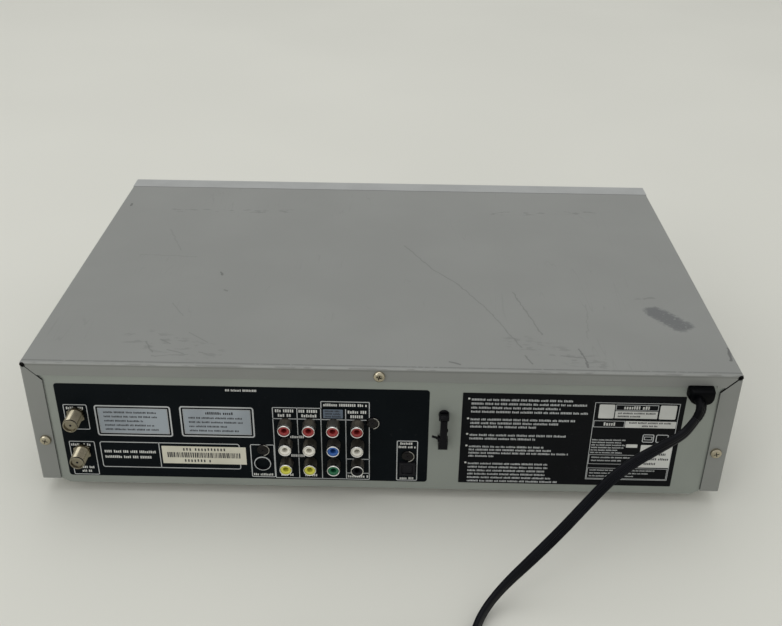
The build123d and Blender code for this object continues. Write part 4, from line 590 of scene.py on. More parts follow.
STEEL = (0.60, 0.60, 0.58)
BLACK = (0.008, 0.008, 0.010)
FINISHES: dict[str, Finish | CoverPaint | PanelPaint] = {
    "cover_paint": CoverPaint(),
    "panel_paint": PanelPaint(),
    "pan_steel": Finish(STEEL, Surface.SHEET, 0.38, 0.4, 0.008, 0.10),
    "foot_rubber": Finish((0.022, 0.022, 0.024), Surface.RUBBER, 0.75, 0.5, 0.03, 0.2, 0.25, 0.3),
    "screw_steel": Finish((0.40, 0.36, 0.27), Surface.PLATED, 0.24, 0.4, 0.004, 0.20, 0.05),
    "screw_black": Finish((0.026, 0.025, 0.025), Surface.PLATED, 0.22, 0.4, 0.004, 0.2, 0.02),
    # Painted glint: light plated metal for the bright arc on each dark socket screw, which stands in for a
    # reflection.
    "screw_black_glint": Finish((0.42, 0.41, 0.38), Surface.PLATED, 0.2, 0.4, 0.002, 0.1, 0.0),
    "can_steel": Finish(STEEL, Surface.SHEET, 0.35, 0.4, 0.008),
    "socket_nickel": Finish((0.215, 0.195, 0.145), Surface.PLATED, 0.22, 0.3, 0.004, 0.25, 0.04),
    "jack_metal": Finish((0.30, 0.27, 0.23), Surface.PLATED, 0.44, 0.5, 0.002, 0.20, 0.02),
    # Painted highlight: a lighter copy of the jack shells' metal for their front rims.
    "rim_painted_highlight": Finish((0.80, 0.79, 0.76), Surface.PLATED, 0.18, 0.5, 0.002, 0.10, 0.0),
    "block_plastic": Finish(BLACK, Surface.MOULDED, 0.42, 0.4, 0.01, 0.2, 0.04, 0.12),
    "jack_red": Finish((0.28, 0.026, 0.026), Surface.MOULDED, 0.36, 0.4, 0.008),
    "jack_white": Finish((0.74, 0.72, 0.65), Surface.MOULDED, 0.36, 0.4, 0.008),
    "jack_yellow": Finish((0.62, 0.60, 0.070), Surface.MOULDED, 0.36, 0.4, 0.008),
    "jack_blue": Finish((0.020, 0.090, 0.32), Surface.MOULDED, 0.36, 0.4, 0.008),
    "jack_green": Finish((0.012, 0.13, 0.055), Surface.MOULDED, 0.36, 0.4, 0.008),
    "bezel_plastic": Finish((0.30, 0.31, 0.305), Surface.MOULDED, 0.36, 0.5, 0.010, 0.05, 0.03),
    "smoked_plastic": Finish((0.010, 0.010, 0.012), Surface.MOULDED, 0.10, 0.6, 0.002, 0.1, 0.02),
    "key_plastic": Finish((0.44, 0.45, 0.45), Surface.MOULDED, 0.30, 0.5, 0.008, 0.05, 0.03),
    "board_green": Finish((0.025, 0.13, 0.050), Surface.LAMINATE, 0.42, 1.2, 0.03, 0.25),
    "board_brown": Finish((0.27, 0.16, 0.070), Surface.LAMINATE, 0.50, 1.2, 0.03, 0.2),
    "deck_steel": Finish(STEEL, Surface.SHEET, 0.36, 0.4, 0.008),
    "reel_plastic": Finish((0.66, 0.66, 0.63), Surface.MOULDED, 0.45),
    "drum_metal": Finish((0.72, 0.72, 0.72), Surface.PLATED, 0.16, 0.3, 0.003, 0.06, 0.0),
    "shaft_steel": Finish((0.66, 0.66, 0.66), Surface.PLATED, 0.14, 0.3, 0.003, 0.06, 0.0),
    "arm_steel": Finish(STEEL, Surface.SHEET, 0.34, 0.4, 0.008),
    "roller_rubber": Finish((0.020, 0.020, 0.020), Surface.RUBBER, 0.70, 0.4, 0.02),
    "loader_plastic": Finish((0.040, 0.040, 0.043), Surface.MOULDED, 0.50, 0.5, 0.03),
    "tray_plastic": Finish((0.055, 0.055, 0.060), Surface.MOULDED, 0.46, 0.5, 0.03),
    "gear_plastic": Finish((0.74, 0.72, 0.65), Surface.MOULDED, 0.42),
    "clamp_plastic": Finish((0.10, 0.10, 0.11), Surface.MOULDED, 0.45),
    "cord_plastic": Finish((0.0030, 0.0034, 0.0052), Surface.RUBBER, 0.34, 0.35, 0.012, 0.25, 0.015, 0.09),
    "grommet_plastic": Finish((0.0015, 0.0018, 0.0024), Surface.MOULDED, 0.36, 0.5, 0.015, 0.25, 0.008, 0.05),
    "plug_plastic": Finish((0.010, 0.010, 0.012), Surface.MOULDED, 0.45, 0.4, 0.03, 0.2, 0.05, 0.35),
    "blade_brass": Finish((0.66, 0.55, 0.30), Surface.PLATED, 0.25, 0.3, 0.004),
    "clip_plastic": Finish((0.0040, 0.0040, 0.0052), Surface.MOULDED, 0.34, 0.5, 0.012, 0.2, 0.015, 0.11),
}
PRINTS: dict[str, LabelPrint] = {
    "print_ground": LabelPrint((0.0046, 0.0064, 0.0078), 0.42, 0.015, 0.03),
    "sticker_ground": LabelPrint((0.0050, 0.0056, 0.0066), 0.46, 0.02, 0.06),
    "print_silver": LabelPrint((0.46, 0.475, 0.475), 0.45, 0.1),
    "print_plate": LabelPrint((0.31, 0.345, 0.375), 0.45, 0.1),
    "print_white": LabelPrint((0.56, 0.565, 0.54), 0.5, 0.1),
    "print_shade": LabelPrint((0.115, 0.145, 0.185), 0.5, 0.05),
    "print_cream": LabelPrint((0.60, 0.58, 0.48), 0.55, 0.1),
    "print_ink": LabelPrint((0.030, 0.030, 0.034), 0.55, 0.1),
    # seam_shadow and fold_shadow paint shade: the dark strips set in the cover's gaps, not print.
    "seam_shadow": LabelPrint((0.006, 0.006, 0.006), 0.8, 0.0, 0.05),
    "fold_shadow": LabelPrint((0.070, 0.075, 0.070), 0.8, 0.0, 0.05),
}
_materials: dict[str, bpy.types.Material] = {}


def finish(name: str) -> bpy.types.Material:
    """The material of a slot or a print, made once.

    Args:
        name: Its name in FINISHES or PRINTS.

    Returns:
        The material.
    """
    if name not in _materials:
        known = FINISHES.get(name) or PRINTS[name]
        _materials[name] = known.material(name)
    return _materials[name]


def ahead(spine: Sequence[Vector], i: int) -> Vector:
    """The way of a line at one of its points, from the point before to the point after."""
    return spine[min(i + 1, len(spine) - 1)] - spine[max(i - 1, 0)]


class Shape:
    """A mesh under construction, in millimetres of the frame."""

    def __init__(self) -> None:
        """Starts an empty mesh."""
        self.mesh = bmesh.new()

    def loft(self, sections: Sequence[Sequence[Vector]], loop: bool = False) -> None:
        """A skin over sections that have as many points each.

        Args:
            sections: The points of each section, in order.
            loop: Whether the last section joins the first; else both ends are closed.
        """
        rings = [[self.mesh.verts.new(point) for point in section] for section in sections]
        count = len(rings[0])
        following = rings[1:] + rings[:1] if loop else rings[1:]
        for low, high in zip(rings, following):
            for i in range(count):
                j = (i + 1) % count
                self.mesh.faces.new([low[i], low[j], high[j], high[i]])
        if not loop:
            self.mesh.faces.new(list(reversed(rings[0])))
            self.mesh.faces.new(rings[-1])

    def prism(self, outline: Sequence[Vector], along: Vector) -> None:
        """A closed prism from an outline, as long as a vector."""
        self.loft([outline, [point + along for point in outline]])

    def box(self, low: Vector, high: Vector) -> None:
        """A closed box.

        Args:
            low: Its lowest corner.
            high: Its highest corner.
        """
        across = Vector((high.x - low.x, 0, 0))
        up = Vector((0, 0, high.z - low.z))
        self.prism([low, low + across, low + across + up, low + up], Vector((0, high.y - low.y, 0)))

    def disc(self, centre: Vector, axis: Vector, radius: float, height: float, sides: int) -> None:
        """A plain disc or pin that rises from the middle of its foot."""
        self.lathe(centre, axis, ((0.0, 0.0), (radius, 0.0), (radius, height), (0.0, height)), sides)

    def lathe(self, centre: Vector, axis: Vector, profile: Profile, sides: int = 40) -> None:
        """A turned piece.

        Args:
            centre: Where its profile's zero lies.
            axis: The way its profile's heights go.
            profile: Pairs of radius and height; a loop when its ends meet, else closed at both ends.
            sides: How many sides it has.
        """
        turn = axis.to_track_quat("Z", "Y").to_matrix()
        closed = profile[0] == profile[-1]
        rows = profile[:-1] if closed else profile
        rings = []
        for radius, height in rows:
            if radius < 1e-6:
                rings.append([self.mesh.verts.new(centre + turn @ Vector((0, 0, height)))] * sides)
                continue
            ring = []
            for i in range(sides):
                angle = 2 * math.pi * i / sides
                spot = Vector((radius * math.cos(angle), radius * math.sin(angle), height))
                ring.append(self.mesh.verts.new(centre + turn @ spot))
            rings.append(ring)
        spans = list(zip(rings, rings[1:]))
        if closed:
            spans.append((rings[-1], rings[0]))
        for low, high in spans:
            self._band(low, high, sides)
        if not closed:
            for ring in (rings[0], rings[-1]):
                if ring[0] is not ring[1]:
                    self.mesh.faces.new(ring)

    def _band(self, low: list, high: list, sides: int) -> None:
        """The faces between two rings, with triangles where one ring is a point.

        Args:
            low: The points of the first ring.
            high: The points of the second.
            sides: How many points each has.
        """
        for i in range(sides):
            j = (i + 1) % sides
            corners = [low[i], low[j], high[j], high[i]]
            unique = list(dict.fromkeys(corners))
            if len(unique) > 2:
                self.mesh.faces.new(unique)

    def tube(self, spine: Sequence[Vector], wides: Sequence[Vector], sections: Sequence[Profile]) -> None:
        """A closed tube whose section follows a spine.

        Args:
            spine: The points it follows.
            wides: The way of the section's first axis at each point.
            sections: The section at each point, as pairs of across and through.
        """
        placed = []
        for i, point in enumerate(spine):
            heading = ahead(spine, i).normalized()
            wide = (wides[i] - heading * wides[i].dot(heading)).normalized()
            through = heading.cross(wide)
            placed.append([point + wide * a + through * b for a, b in sections[i]])
        self.loft(placed)

    def bevel(self, width: float, steps: int = 2) -> None:
        """Rounds the sharp edges made so far.

        Args:
            width: The width of the rounding.
            steps: How many strips it has.
        """
        bmesh.ops.recalc_face_normals(self.mesh, faces=self.mesh.faces)
        sharp = [e for e in self.mesh.edges if e.is_manifold and e.calc_face_angle() > math.radians(35)]
        bmesh.ops.bevel(
            self.mesh,
            geom=sharp,
            offset=width,
            segments=steps,
            profile=0.5,
            affect="EDGES",
            clamp_overlap=True,
        )

    def place(self, name: str, body: str, material: str, slot: str | None = None) -> bpy.types.Object:
        """Makes the piece and lets it ride.

        Args:
            name: The piece's name.
            body: The body of the frame that it rides on.
            material: The finish it wears.
            slot: The record's slot it stands for, where that isn't its finish's name. Not used.

        Returns:
            The object.
        """
        bmesh.ops.recalc_face_normals(self.mesh, faces=self.mesh.faces)
        bmesh.ops.scale(self.mesh, vec=(MM, MM, MM), verts=self.mesh.verts)
        data = bpy.data.meshes.new(name)
        self.mesh.to_mesh(data)
        self.mesh.free()
        data.shade_smooth()
        data.set_sharp_from_angle(angle=math.radians(32))
        data.materials.append(finish(material))
        piece = bpy.data.objects.new(name, data)
        bpy.context.scene.collection.objects.link(piece)
        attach(piece, body)
        log.info("%s: %d faces on %s", name, len(data.polygons), body)
        return piece


def rounded(extent: Extent, corner: float | Sequence[float], steps: int = 4) -> list[tuple[float, float]]:
    """The outline of a rectangle with round corners.

    Args:
        extent: Its left and right sides, its foot and its top.
        corner: The radius of every corner, or of each one in turn, from the top right round by the top left.
        steps: How many strips round a corner; a corner of no radius stays one point.

    Returns:
        Its points in order.
    """
    x_low, x_high, z_low, z_high = extent
    points = []
    for quarter, radius in enumerate([corner] * 4 if isinstance(corner, float) else corner):
        x = x_high - radius if quarter in (0, 3) else x_low + radius
        z = z_high - radius if quarter in (0, 1) else z_low + radius
        strips = steps if radius else 0
        for step in range(strips + 1):
            angle = math.radians(90 * quarter + 90 * step / steps)
            points.append((x + radius * math.cos(angle), z + radius * math.sin(angle)))
    return points


@dataclass(frozen=True)
class PanScrew:
    """A pan-head screw with a cross recess, whose shade is painted as dark blades.

    Attributes:
        arm_sunk: How far the arms reach into the head.
        arm_proud: How far they stand over it.
    """

    radius: float
    height: float
    shank_radius: float = 1.5
    shank_length: float = 7.0
    recess_depth: float = 0.55
    arm_reach: float = 1.7
    arm_width: float = 0.55
    arm_sunk: float = 0.2
    arm_proud: float = 0.03

    def body(self, shape: Shape, seat: Vector, way: Vector) -> None:
        """Turns the head and the shank.

        Args:
            shape: The shape that takes them.
            seat: The middle of the head's foot.
            way: The way the head rises.
        """
        radius, height, shank, tip = self.radius, self.height, self.shank_radius, -self.shank_length
        shape.lathe(
            seat,
            way,
            (
                (0.0, tip), (shank - 0.4, tip + 0.8), (shank, tip + 1.6), (shank, 0.0),
                (radius, 0.0), (radius, height * 0.35), (radius * 0.93, height * 0.68),
                (radius * 0.74, height * 0.92), (radius * 0.55, height), (0.42, height),
                (0.30, height - self.recess_depth), (0.0, height - self.recess_depth),
            ),
        )

    def cross(self, shape: Shape, seat: Vector, way: Vector, turn: float) -> None:
        """Painted shade of the cross recess: two thin dark blades just proud of the head's crown, which stand
        in for the shade in the cross.

        Args:
            shape: The shape that takes it.
            seat: The middle of the head's foot.
            way: The way the head rises.
            turn: How far the cross is turned, in radians.
        """
        across = way.orthogonal().normalized()
        across.rotate(Matrix.Rotation(turn, 3, way))
        up = way.cross(across)
        root = seat + way * (self.height - self.arm_sunk)
        for first, second in ((across, up), (up, across)):
            outline = [
                root + first * (self.arm_reach * i) + second * (self.arm_width * j / 2)
                for i, j in ((-1, -1), (1, -1), (1, 1), (-1, 1))
            ]
            shape.prism(outline, way * (self.arm_sunk + self.arm_proud))


@dataclass
class Casing:
    """The folded cover, the panels and the bezel: frame pieces that keep their shape, with feet and screws.

    Attributes:
        foot_tip: The radius of a foot's sole.
        seam_drop: How far below the top the cover's upright seams start.
        seam_widths: The width of the mitre gap at the left and at the right, seen from the front.
        hole_inset: How far the relief holes lie from the cover's sides and top.
        glint_start: The angle at which the painted glint on a dark screw starts, in degrees; the glint is a
            bright open arc that stands in for a reflection.
        glint_span: How far round it goes, in degrees.
    """

    foot_radius: float = 17.0
    foot_tip: float = 15.4
    foot_hollow: float = 9.0
    foot_height: float = 7.5
    seam_x: float = 203.0
    seam_drop: float = 12.3
    seam_foot: float = 12.0
    seam_widths: tuple[float, float] = (0.85, 0.45)
    hole_inset: float = 1.6
    hole_radius: float = 1.45
    gap_sunk: float = 0.25
    gap_proud: float = 0.03
    rear_screws: Profile = ((-208.0, 41.0), (208.0, 41.0), (0.5, TOP_Z - 5.2))
    side_screw_ys: tuple[float, float] = (-70.0, 75.0)
    side_screw_z: float = 22.0
    socket_screws: Profile = ((4.5, 58.4), (72.9, 36.3), (-17.5, 33.6))
    bright_screw: PanScrew = PanScrew(3.5, 1.97)
    dark_screw: PanScrew = PanScrew(3.9, 1.37)
    # The painted glint on each dark socket screw: a bright open arc that stands in for a reflection.
    glint_radius: float = 3.98
    glint_lift: float = 0.75
    glint_start: float = 100.0
    glint_span: float = 162.0
    glint_steps: int = 18
    seed: int = 7

    def dress(self) -> None:
        """Gives every node of the frame the finish of its slot."""
        slots = {row["node"]: row["material_slot"] for row in frame["record"]["subparts"]}
        for name, piece in frame["nodes"].items():
            piece.data.materials.clear()
            piece.data.materials.append(finish(slots[name]))
        log.info("%d frame pieces dressed", len(slots))

    def feet(self) -> None:
        """Turned rubber feet with a hollow sole."""
        low, high = node_box("feet")
        reach_x, reach_y = high.x - self.foot_radius, high.y - self.foot_radius
        seat = self.foot_height - 0.02
        profile = (
            (0.0, 2.0), (self.foot_hollow - 0.6, 2.0), (self.foot_hollow, 1.5),
            (self.foot_hollow + 0.4, 0.0), (self.foot_tip, 0.0), (self.foot_tip + 0.5, 0.2),
            (self.foot_radius - 0.15, 3.0), (self.foot_radius, self.foot_height - 0.6),
            (self.foot_radius - 0.4, seat), (0.0, seat),
        )
        shape = Shape()
        for x in (-reach_x, reach_x):
            for y in (-reach_y, reach_y):
                shape.lathe(Vector((x, y, low.z)), UPWARD, profile, 48)
        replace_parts(shape.place("rubber_feet", CASING, "foot_rubber"), "feet")

    def _painted_glint(self, shape: Shape, seat: Vector) -> None:
        """A painted glint: a bright open arc round a dark screw that stands in for a reflection, with its gap
        at the reader's left.

        Args:
            shape: The shape that takes it.
            seat: The middle of the screw's seat.
        """
        radius, spine = self.glint_radius, []
        for step in range(self.glint_steps + 1):
            angle = math.radians(self.glint_start + self.glint_span * step / self.glint_steps)
            spot = Vector((radius * math.cos(angle), self.glint_lift, radius * math.sin(angle)))
            spine.append(seat + spot)
        section = rounded((-0.6, 0.6, -0.24, 0.24), 0.1)
        shape.tube(spine, [OUTWARD] * len(spine), [section] * len(spine))

    def screws(self) -> None:
        """Pan-head screws of the cover and the panel."""
        rng = random.Random(self.seed)
        seats = [(Vector((x, REAR_Y, z)), OUTWARD) for x, z in self.rear_screws]
        for side in (-1, 1):
            for y in self.side_screw_ys:
                seats.append((Vector((side * HALF_WIDTH_OF_COVER, y, self.side_screw_z)), SIDEWAYS * side))
        # The crosses of the bright screws are painted shade: dark blades that stand in for the shade in each
        # cross recess.
        bright, recess = Shape(), Shape()
        for seat, way in seats:
            self.bright_screw.body(bright, seat, way)
            self.bright_screw.cross(recess, seat, way, rng.uniform(0, math.pi))
        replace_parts(bright.place("pan_screws", CASING, "screw_steel"), "cover_screws")
        recess.place("pan_screw_cross_shadows", CASING, "screw_black")
        # Each dark screw gets a painted glint, a bright arc that stands in for a reflection, and painted
        # shade in its cross.
        dark, dark_cross_shade, glint_arcs = Shape(), Shape(), Shape()
        for x, z in self.socket_screws:
            seat = Vector((x, PANEL_Y, z))
            self.dark_screw.body(dark, seat, OUTWARD)
            self.dark_screw.cross(dark_cross_shade, seat, OUTWARD, rng.uniform(0, math.pi))
            self._painted_glint(glint_arcs, seat)
        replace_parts(dark.place("socket_screws", CASING, "screw_black"), "panel_screws")
        glint_arcs.place("socket_screw_glints", CASING, "screw_black_glint", "screw_black")
        dark_cross_shade.place("socket_screw_cross_shadows", CASING, "block_plastic", "screw_black")

    def seams(self) -> None:
        """Painted shade in the cover's rear corners: a dark disc in the relief hole, a dark strip in the
        mitre and a grey strip in the upright seam below it stand in for the shade inside these gaps.
        """
        dark, grey = Shape(), Shape()
        base, lift = REAR_Y - self.gap_sunk, self.gap_sunk + self.gap_proud
        for side, wide in zip((-1, 1), self.seam_widths):
            hole = Vector((side * (HALF_WIDTH_OF_COVER - self.hole_inset), base, TOP_Z - self.hole_inset))
            dark.disc(hole, OUTWARD, self.hole_radius, lift, 24)
            bend = Vector((side * self.seam_x, base, TOP_Z - self.seam_drop))
            slope = (bend - hole).normalized()
            across = Vector((-slope.z, 0, slope.x)) * (wide / 2)
            dark.prism([hole - across, hole + across, bend + across, bend - across], OUTWARD * lift)
            half = wide * 0.55 / 2
            foot = Vector((bend.x - half, base, self.seam_foot))
            grey.box(foot, Vector((bend.x + half, base + lift, bend.z)))
        # Painted shade: the dark discs and strips stand in for the shade inside the relief holes, mitres and
        # seams.
        dark.place("cover_mitre_gap_shadows", CASING, "seam_shadow", "cover_paint")
        grey.place("cover_seam_gap_shadows", CASING, "fold_shadow", "cover_paint")

    def build(self) -> None:
        """Builds and dresses the casing."""
        self.dress()
        self.feet()
        self.screws()
        self.seams()


@dataclass
class Sockets:
    """What stands out of the rear panel: phono jacks, antenna sockets and the round video socket.

    Attributes:
        inks: The colours of each column, from the top down.
        insert_nodes: The frame's node for each colour of insert.
        jack_proud: How far a jack stands off the cover's rear.
        inside_y: Where the front of the jack block lies, just inside the panel.
        bay_floor: How far behind the bezel's face the floor of the front jacks' bay lies.
        bay_tip: How far behind that face the tips of the front jacks lie.
        video_pins: Where the contacts of the video socket lie from its middle.
    """

    columns: tuple[float, ...] = (58.1, 43.2, 28.5, 13.7)
    rows: tuple[float, ...] = (56.5, 41.8, 26.8)
    inks: tuple[tuple[str, ...], ...] = (
        ("red", "white", "yellow"),
        ("red", "white", "yellow"),
        ("red", "blue", "green"),
        ("red", "white", "black"),
    )
    insert_nodes: tuple[tuple[str, str | None], ...] = (
        ("red", "red_jack_rings"),
        ("white", "white_jack_rings"),
        ("yellow", "yellow_jack_rings"),
        ("blue", "blue_jack_ring"),
        ("green", "green_jack_ring"),
        ("black", None),
    )
    shell_radius: float = 4.15
    wall: float = 0.6
    jack_proud: float = 8.0
    inside_y: float = PANEL_Y - 0.8
    bay_x: float = -150.0
    bay_z: float = 24.0
    bay_pitch: float = 15.0
    bay_floor: float = 11.25
    bay_tip: float = 1.0
    antenna_x: float = 186.3
    antenna_zs: tuple[float, float] = (60.5, 32.5)
    antenna_proud: float = 12.5
    collar_radius: float = 5.9
    collar_height: float = 1.9
    thread_pitch: float = 0.9
    thread_crest: float = 4.72
    thread_root: float = 4.05
    video_x: float = 73.4
    video_z: float = 26.2
    video_proud: float = 0.97
    video_pins: Profile = ((-1.7, 0.6), (1.7, 0.6), (-1.1, -1.7), (1.1, -1.7))

    def _jack(self, metal: Sequence[Shape], insert: Shape, tip: Vector, way: Vector, depth: float) -> None:
        """One phono jack.

        Args:
            metal: The shapes that take its dark shell and its bright rim; the rim wears a lighter copy of the
                shell's metal as a painted highlight.
            insert: The shape that takes its coloured insert.
            tip: The middle of its tip.
            way: The way it points.
            depth: How far it reaches back from its tip.
        """
        shell, rim = metal
        outer, inner = self.shell_radius - 0.02, self.shell_radius - self.wall
        skin, bore, back, front = outer - 0.03, inner + 0.02, -depth, -0.8
        shell.lathe(tip, way, ((skin, back), (skin, front), (bore, front), (bore, back), (skin, back)))
        rim.lathe(
            tip,
            way,
            (
                (outer, -1.7), (outer, -0.70), (outer - 0.16, -0.25), (outer - 0.36, 0.0),
                (inner + 0.04, 0.0), (inner - 0.16, -0.25), (inner - 0.16, -1.7), (outer, -1.7),
            ),
        )
        radius, top, foot = inner - 0.17, -0.6, back + 0.3
        insert.lathe(
            tip,
            way,
            (
                (radius, foot), (radius, top - 0.35), (radius - 0.4, top), (2.05, top),
                (1.7, top - 0.5), (1.65, foot), (radius, foot),
            ),
        )

    def phono(self) -> None:
        """The twelve rear jacks and the three in the front bay."""
        metal = Shape(), Shape()
        inserts = {ink: Shape() for ink, _ in self.insert_nodes}
        tip_y = REAR_Y + self.jack_proud
        for x, inks in zip(self.columns, self.inks):
            for z, ink in zip(self.rows, inks):
                self._jack(metal, inserts[ink], Vector((x, tip_y, z)), OUTWARD, tip_y - self.inside_y)
        for step, ink in ((1, "red"), (0, "white"), (-1, "yellow")):
            tip = Vector((self.bay_x + step * self.bay_pitch, FACE_Y + self.bay_tip, self.bay_z))
            self._jack(metal, inserts[ink], tip, FORWARD, self.bay_floor - self.bay_tip)
        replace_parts(metal[0].place("phono_shells", CASING, "jack_metal"), "jack_shells")
        # The rims wear a lighter copy of the shells' metal, a painted highlight.
        metal[1].place("phono_rims", CASING, "rim_painted_highlight", "jack_metal")
        for ink, node in self.insert_nodes:
            material = f"jack_{ink}" if node else "block_plastic"
            piece = inserts[ink].place(f"phono_insert_{ink}", CASING, material)
            if node:
                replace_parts(piece, node)
        self._block()

    def _block(self) -> None:
        """The moulded block that carries the jacks, behind the panel."""
        low, high = node_box("jack_block")
        shape = Shape()
        shape.box(low, Vector((high.x, self.inside_y, high.z)))
        shape.bevel(0.6)
        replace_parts(shape.place("phono_block", CASING, "block_plastic"), "jack_block")

    def antennas(self) -> None:
        """Two threaded sockets, each with a six-sided collar and a bored end, and a small dark disc in the
        bore as painted shade of its contact hole.
        """
        shape, end = Shape(), Shape()
        tip = REAR_Y + self.antenna_proud
        root = self.inside_y - tip
        profile = [(0.0, root), (4.55, root), (4.55, PANEL_Y + 2.0 - tip)]
        height = PANEL_Y + 2.6 - tip
        while height < -1.7:
            profile += [(self.thread_crest, height), (self.thread_root, height + self.thread_pitch / 2)]
            height += self.thread_pitch
        profile += [(4.45, -1.3), (4.45, -0.3), (4.2, 0.0), (3.7, 0.0)]
        profile += [(3.5, -0.3), (3.45, -1.15), (0.0, -1.15)]
        angles = [math.radians(60 * i + 30) for i in range(6)]
        for z in self.antenna_zs:
            centre = Vector((self.antenna_x, tip, z))
            shape.lathe(centre, OUTWARD, profile, 48)
            seat, radius = Vector((self.antenna_x, PANEL_Y + 0.02, z)), self.collar_radius
            hexagon = [seat + Vector((math.cos(a), 0, math.sin(a))) * radius for a in angles]
            shape.prism(hexagon, OUTWARD * self.collar_height)
            # Painted shade: a small dark disc at the foot of the bore stands in for the contact hole.
            end.disc(centre - OUTWARD * 1.17, OUTWARD, 0.75, 0.08, 24)
        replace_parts(shape.place("antenna_barrels", CASING, "socket_nickel"), "antenna_sockets")
        end.place("antenna_contact_hole_shadows", CASING, "block_plastic", "socket_nickel")

    def small_video(self) -> None:
        """The round video socket: a cup with a key on a plain box, a pale ring and its contacts."""
        low, high = node_box("svideo_socket")
        centre = Vector((self.video_x, REAR_Y + self.video_proud, self.video_z))
        root = self.inside_y - centre.y
        cup = (
            (0.0, root), (5.25, root), (5.25, -0.3), (5.0, 0.0), (4.7, 0.0), (4.55, -0.4),
            (4.55, -3.0), (0.0, -3.0),
        )
        shape = Shape()
        shape.box(low, Vector((high.x, self.inside_y, high.z)))
        shape.lathe(centre, OUTWARD, cup)
        shape.box(centre + Vector((-1.2, -2.9, 3.1)), centre + Vector((1.2, -0.2, 4.7)))
        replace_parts(shape.place("round_video_socket", CASING, "block_plastic"), "svideo_socket")
        ring = Shape()
        profile = ((5.28, -0.5), (5.28, -0.05), (5.05, 0.02), (4.8, 0.02), (4.8, -0.5), (5.28, -0.5))
        ring.lathe(centre, OUTWARD, profile)
        ring.place("round_video_ring", CASING, "print_silver", "block_plastic")
        pins = Shape()
        for x, z in self.video_pins:
            pins.disc(centre + Vector((x, -2.98, z)), OUTWARD, 0.45, 0.12, 16)
        pins.place("round_video_contacts", CASING, "jack_metal", "block_plastic")

    def build(self) -> None:
        """Builds all the sockets."""
        self.phono()
        self.antennas()
        self.small_video()


@dataclass(frozen=True)
class Row:
    """A row of groups of small upright bars, read from the rear, in place of a line of words.

    Attributes:
        right: Where it starts, at the reader's left.
        z: How high its middle lies.
    """

    right: float
    width: float
    z: float
    tall: float


@dataclass
class Ink:
    """One colour of print: flat shapes at one height over the panel.

    Attributes:
        level: How far over the panel they lie.
        rng: What the widths of bars are drawn from.
    """

    level: float
    rng: random.Random
    thick: float
    shape: Shape = field(default_factory=Shape)

    def plate(self, extent: Extent, corner: float | Sequence[float]) -> None:
        """A plate with round corners, of one radius or of one for each corner in turn."""
        outline = [Vector((x, PANEL_Y + self.level, z)) for x, z in rounded(extent, corner)]
        self.shape.prism(outline, OUTWARD * self.thick)

    def bar(self, x_low: float, x_high: float, z: float, tall: float) -> None:
        """A bar or a line across, about a middle height."""
        base = PANEL_Y + self.level
        self.shape.box(Vector((x_low, base, z - tall / 2)), Vector((x_high, base + self.thick, z + tall / 2)))

    def upright(self, x: float, z_low: float, z_high: float, line: float) -> None:
        """An upright line about a middle place, from its foot to its top."""
        self.bar(x - line / 2, x + line / 2, (z_low + z_high) / 2, z_high - z_low)

    def frame(self, extent: Extent, line: float, corner: float) -> None:
        """An open frame of thin lines with round corners.

        Args:
            extent: Its left and right sides, its foot and its top.
            line: How wide its lines are.
            corner: The radius of its outer corners.
        """
        x_low, x_high, z_low, z_high = extent
        inside = (x_low + line, x_high - line, z_low + line, z_high - line)
        outer, inner = rounded(extent, corner), rounded(inside, max(corner - line, 0.1))
        base = PANEL_Y + self.level
        top = base + self.thick
        sections = [
            [Vector((x, y, z)) for x, z in points]
            for points, y in ((outer, base), (outer, top), (inner, top), (inner, base))
        ]
        self.shape.loft(sections, loop=True)

    def words(self, row: Row) -> None:
        """The bars of one row.

        Args:
            row: Where it lies and how large its bars are.
        """
        tall = row.tall
        place, end = row.right, row.right - row.width + tall * 0.4
        while place > end:
            for _ in range(self.rng.randint(3, 9)):
                if place <= end:
                    break
                wide = tall * self.rng.uniform(0.34, 0.50)
                share = self.rng.choice((1.0, 1.0, 0.8))
                self.bar(place - wide, place, row.z - tall * (1 - share) / 2, tall * share)
                place -= wide + tall * 0.22
            place -= tall * 0.5

    def column(self, right: float, top: float, pitch: float, tall: float, widths: Sequence[float]) -> None:
        """Rows of bars below one another, flush at the reader's left, the first about the top."""
        for i, width in enumerate(widths):
            self.words(Row(right, width, top - i * pitch, tall))

    def place(self, name: str, material: str) -> None:
        """Makes the piece, which rides on the casing."""
        self.shape.place(name, CASING, material, "panel_paint")


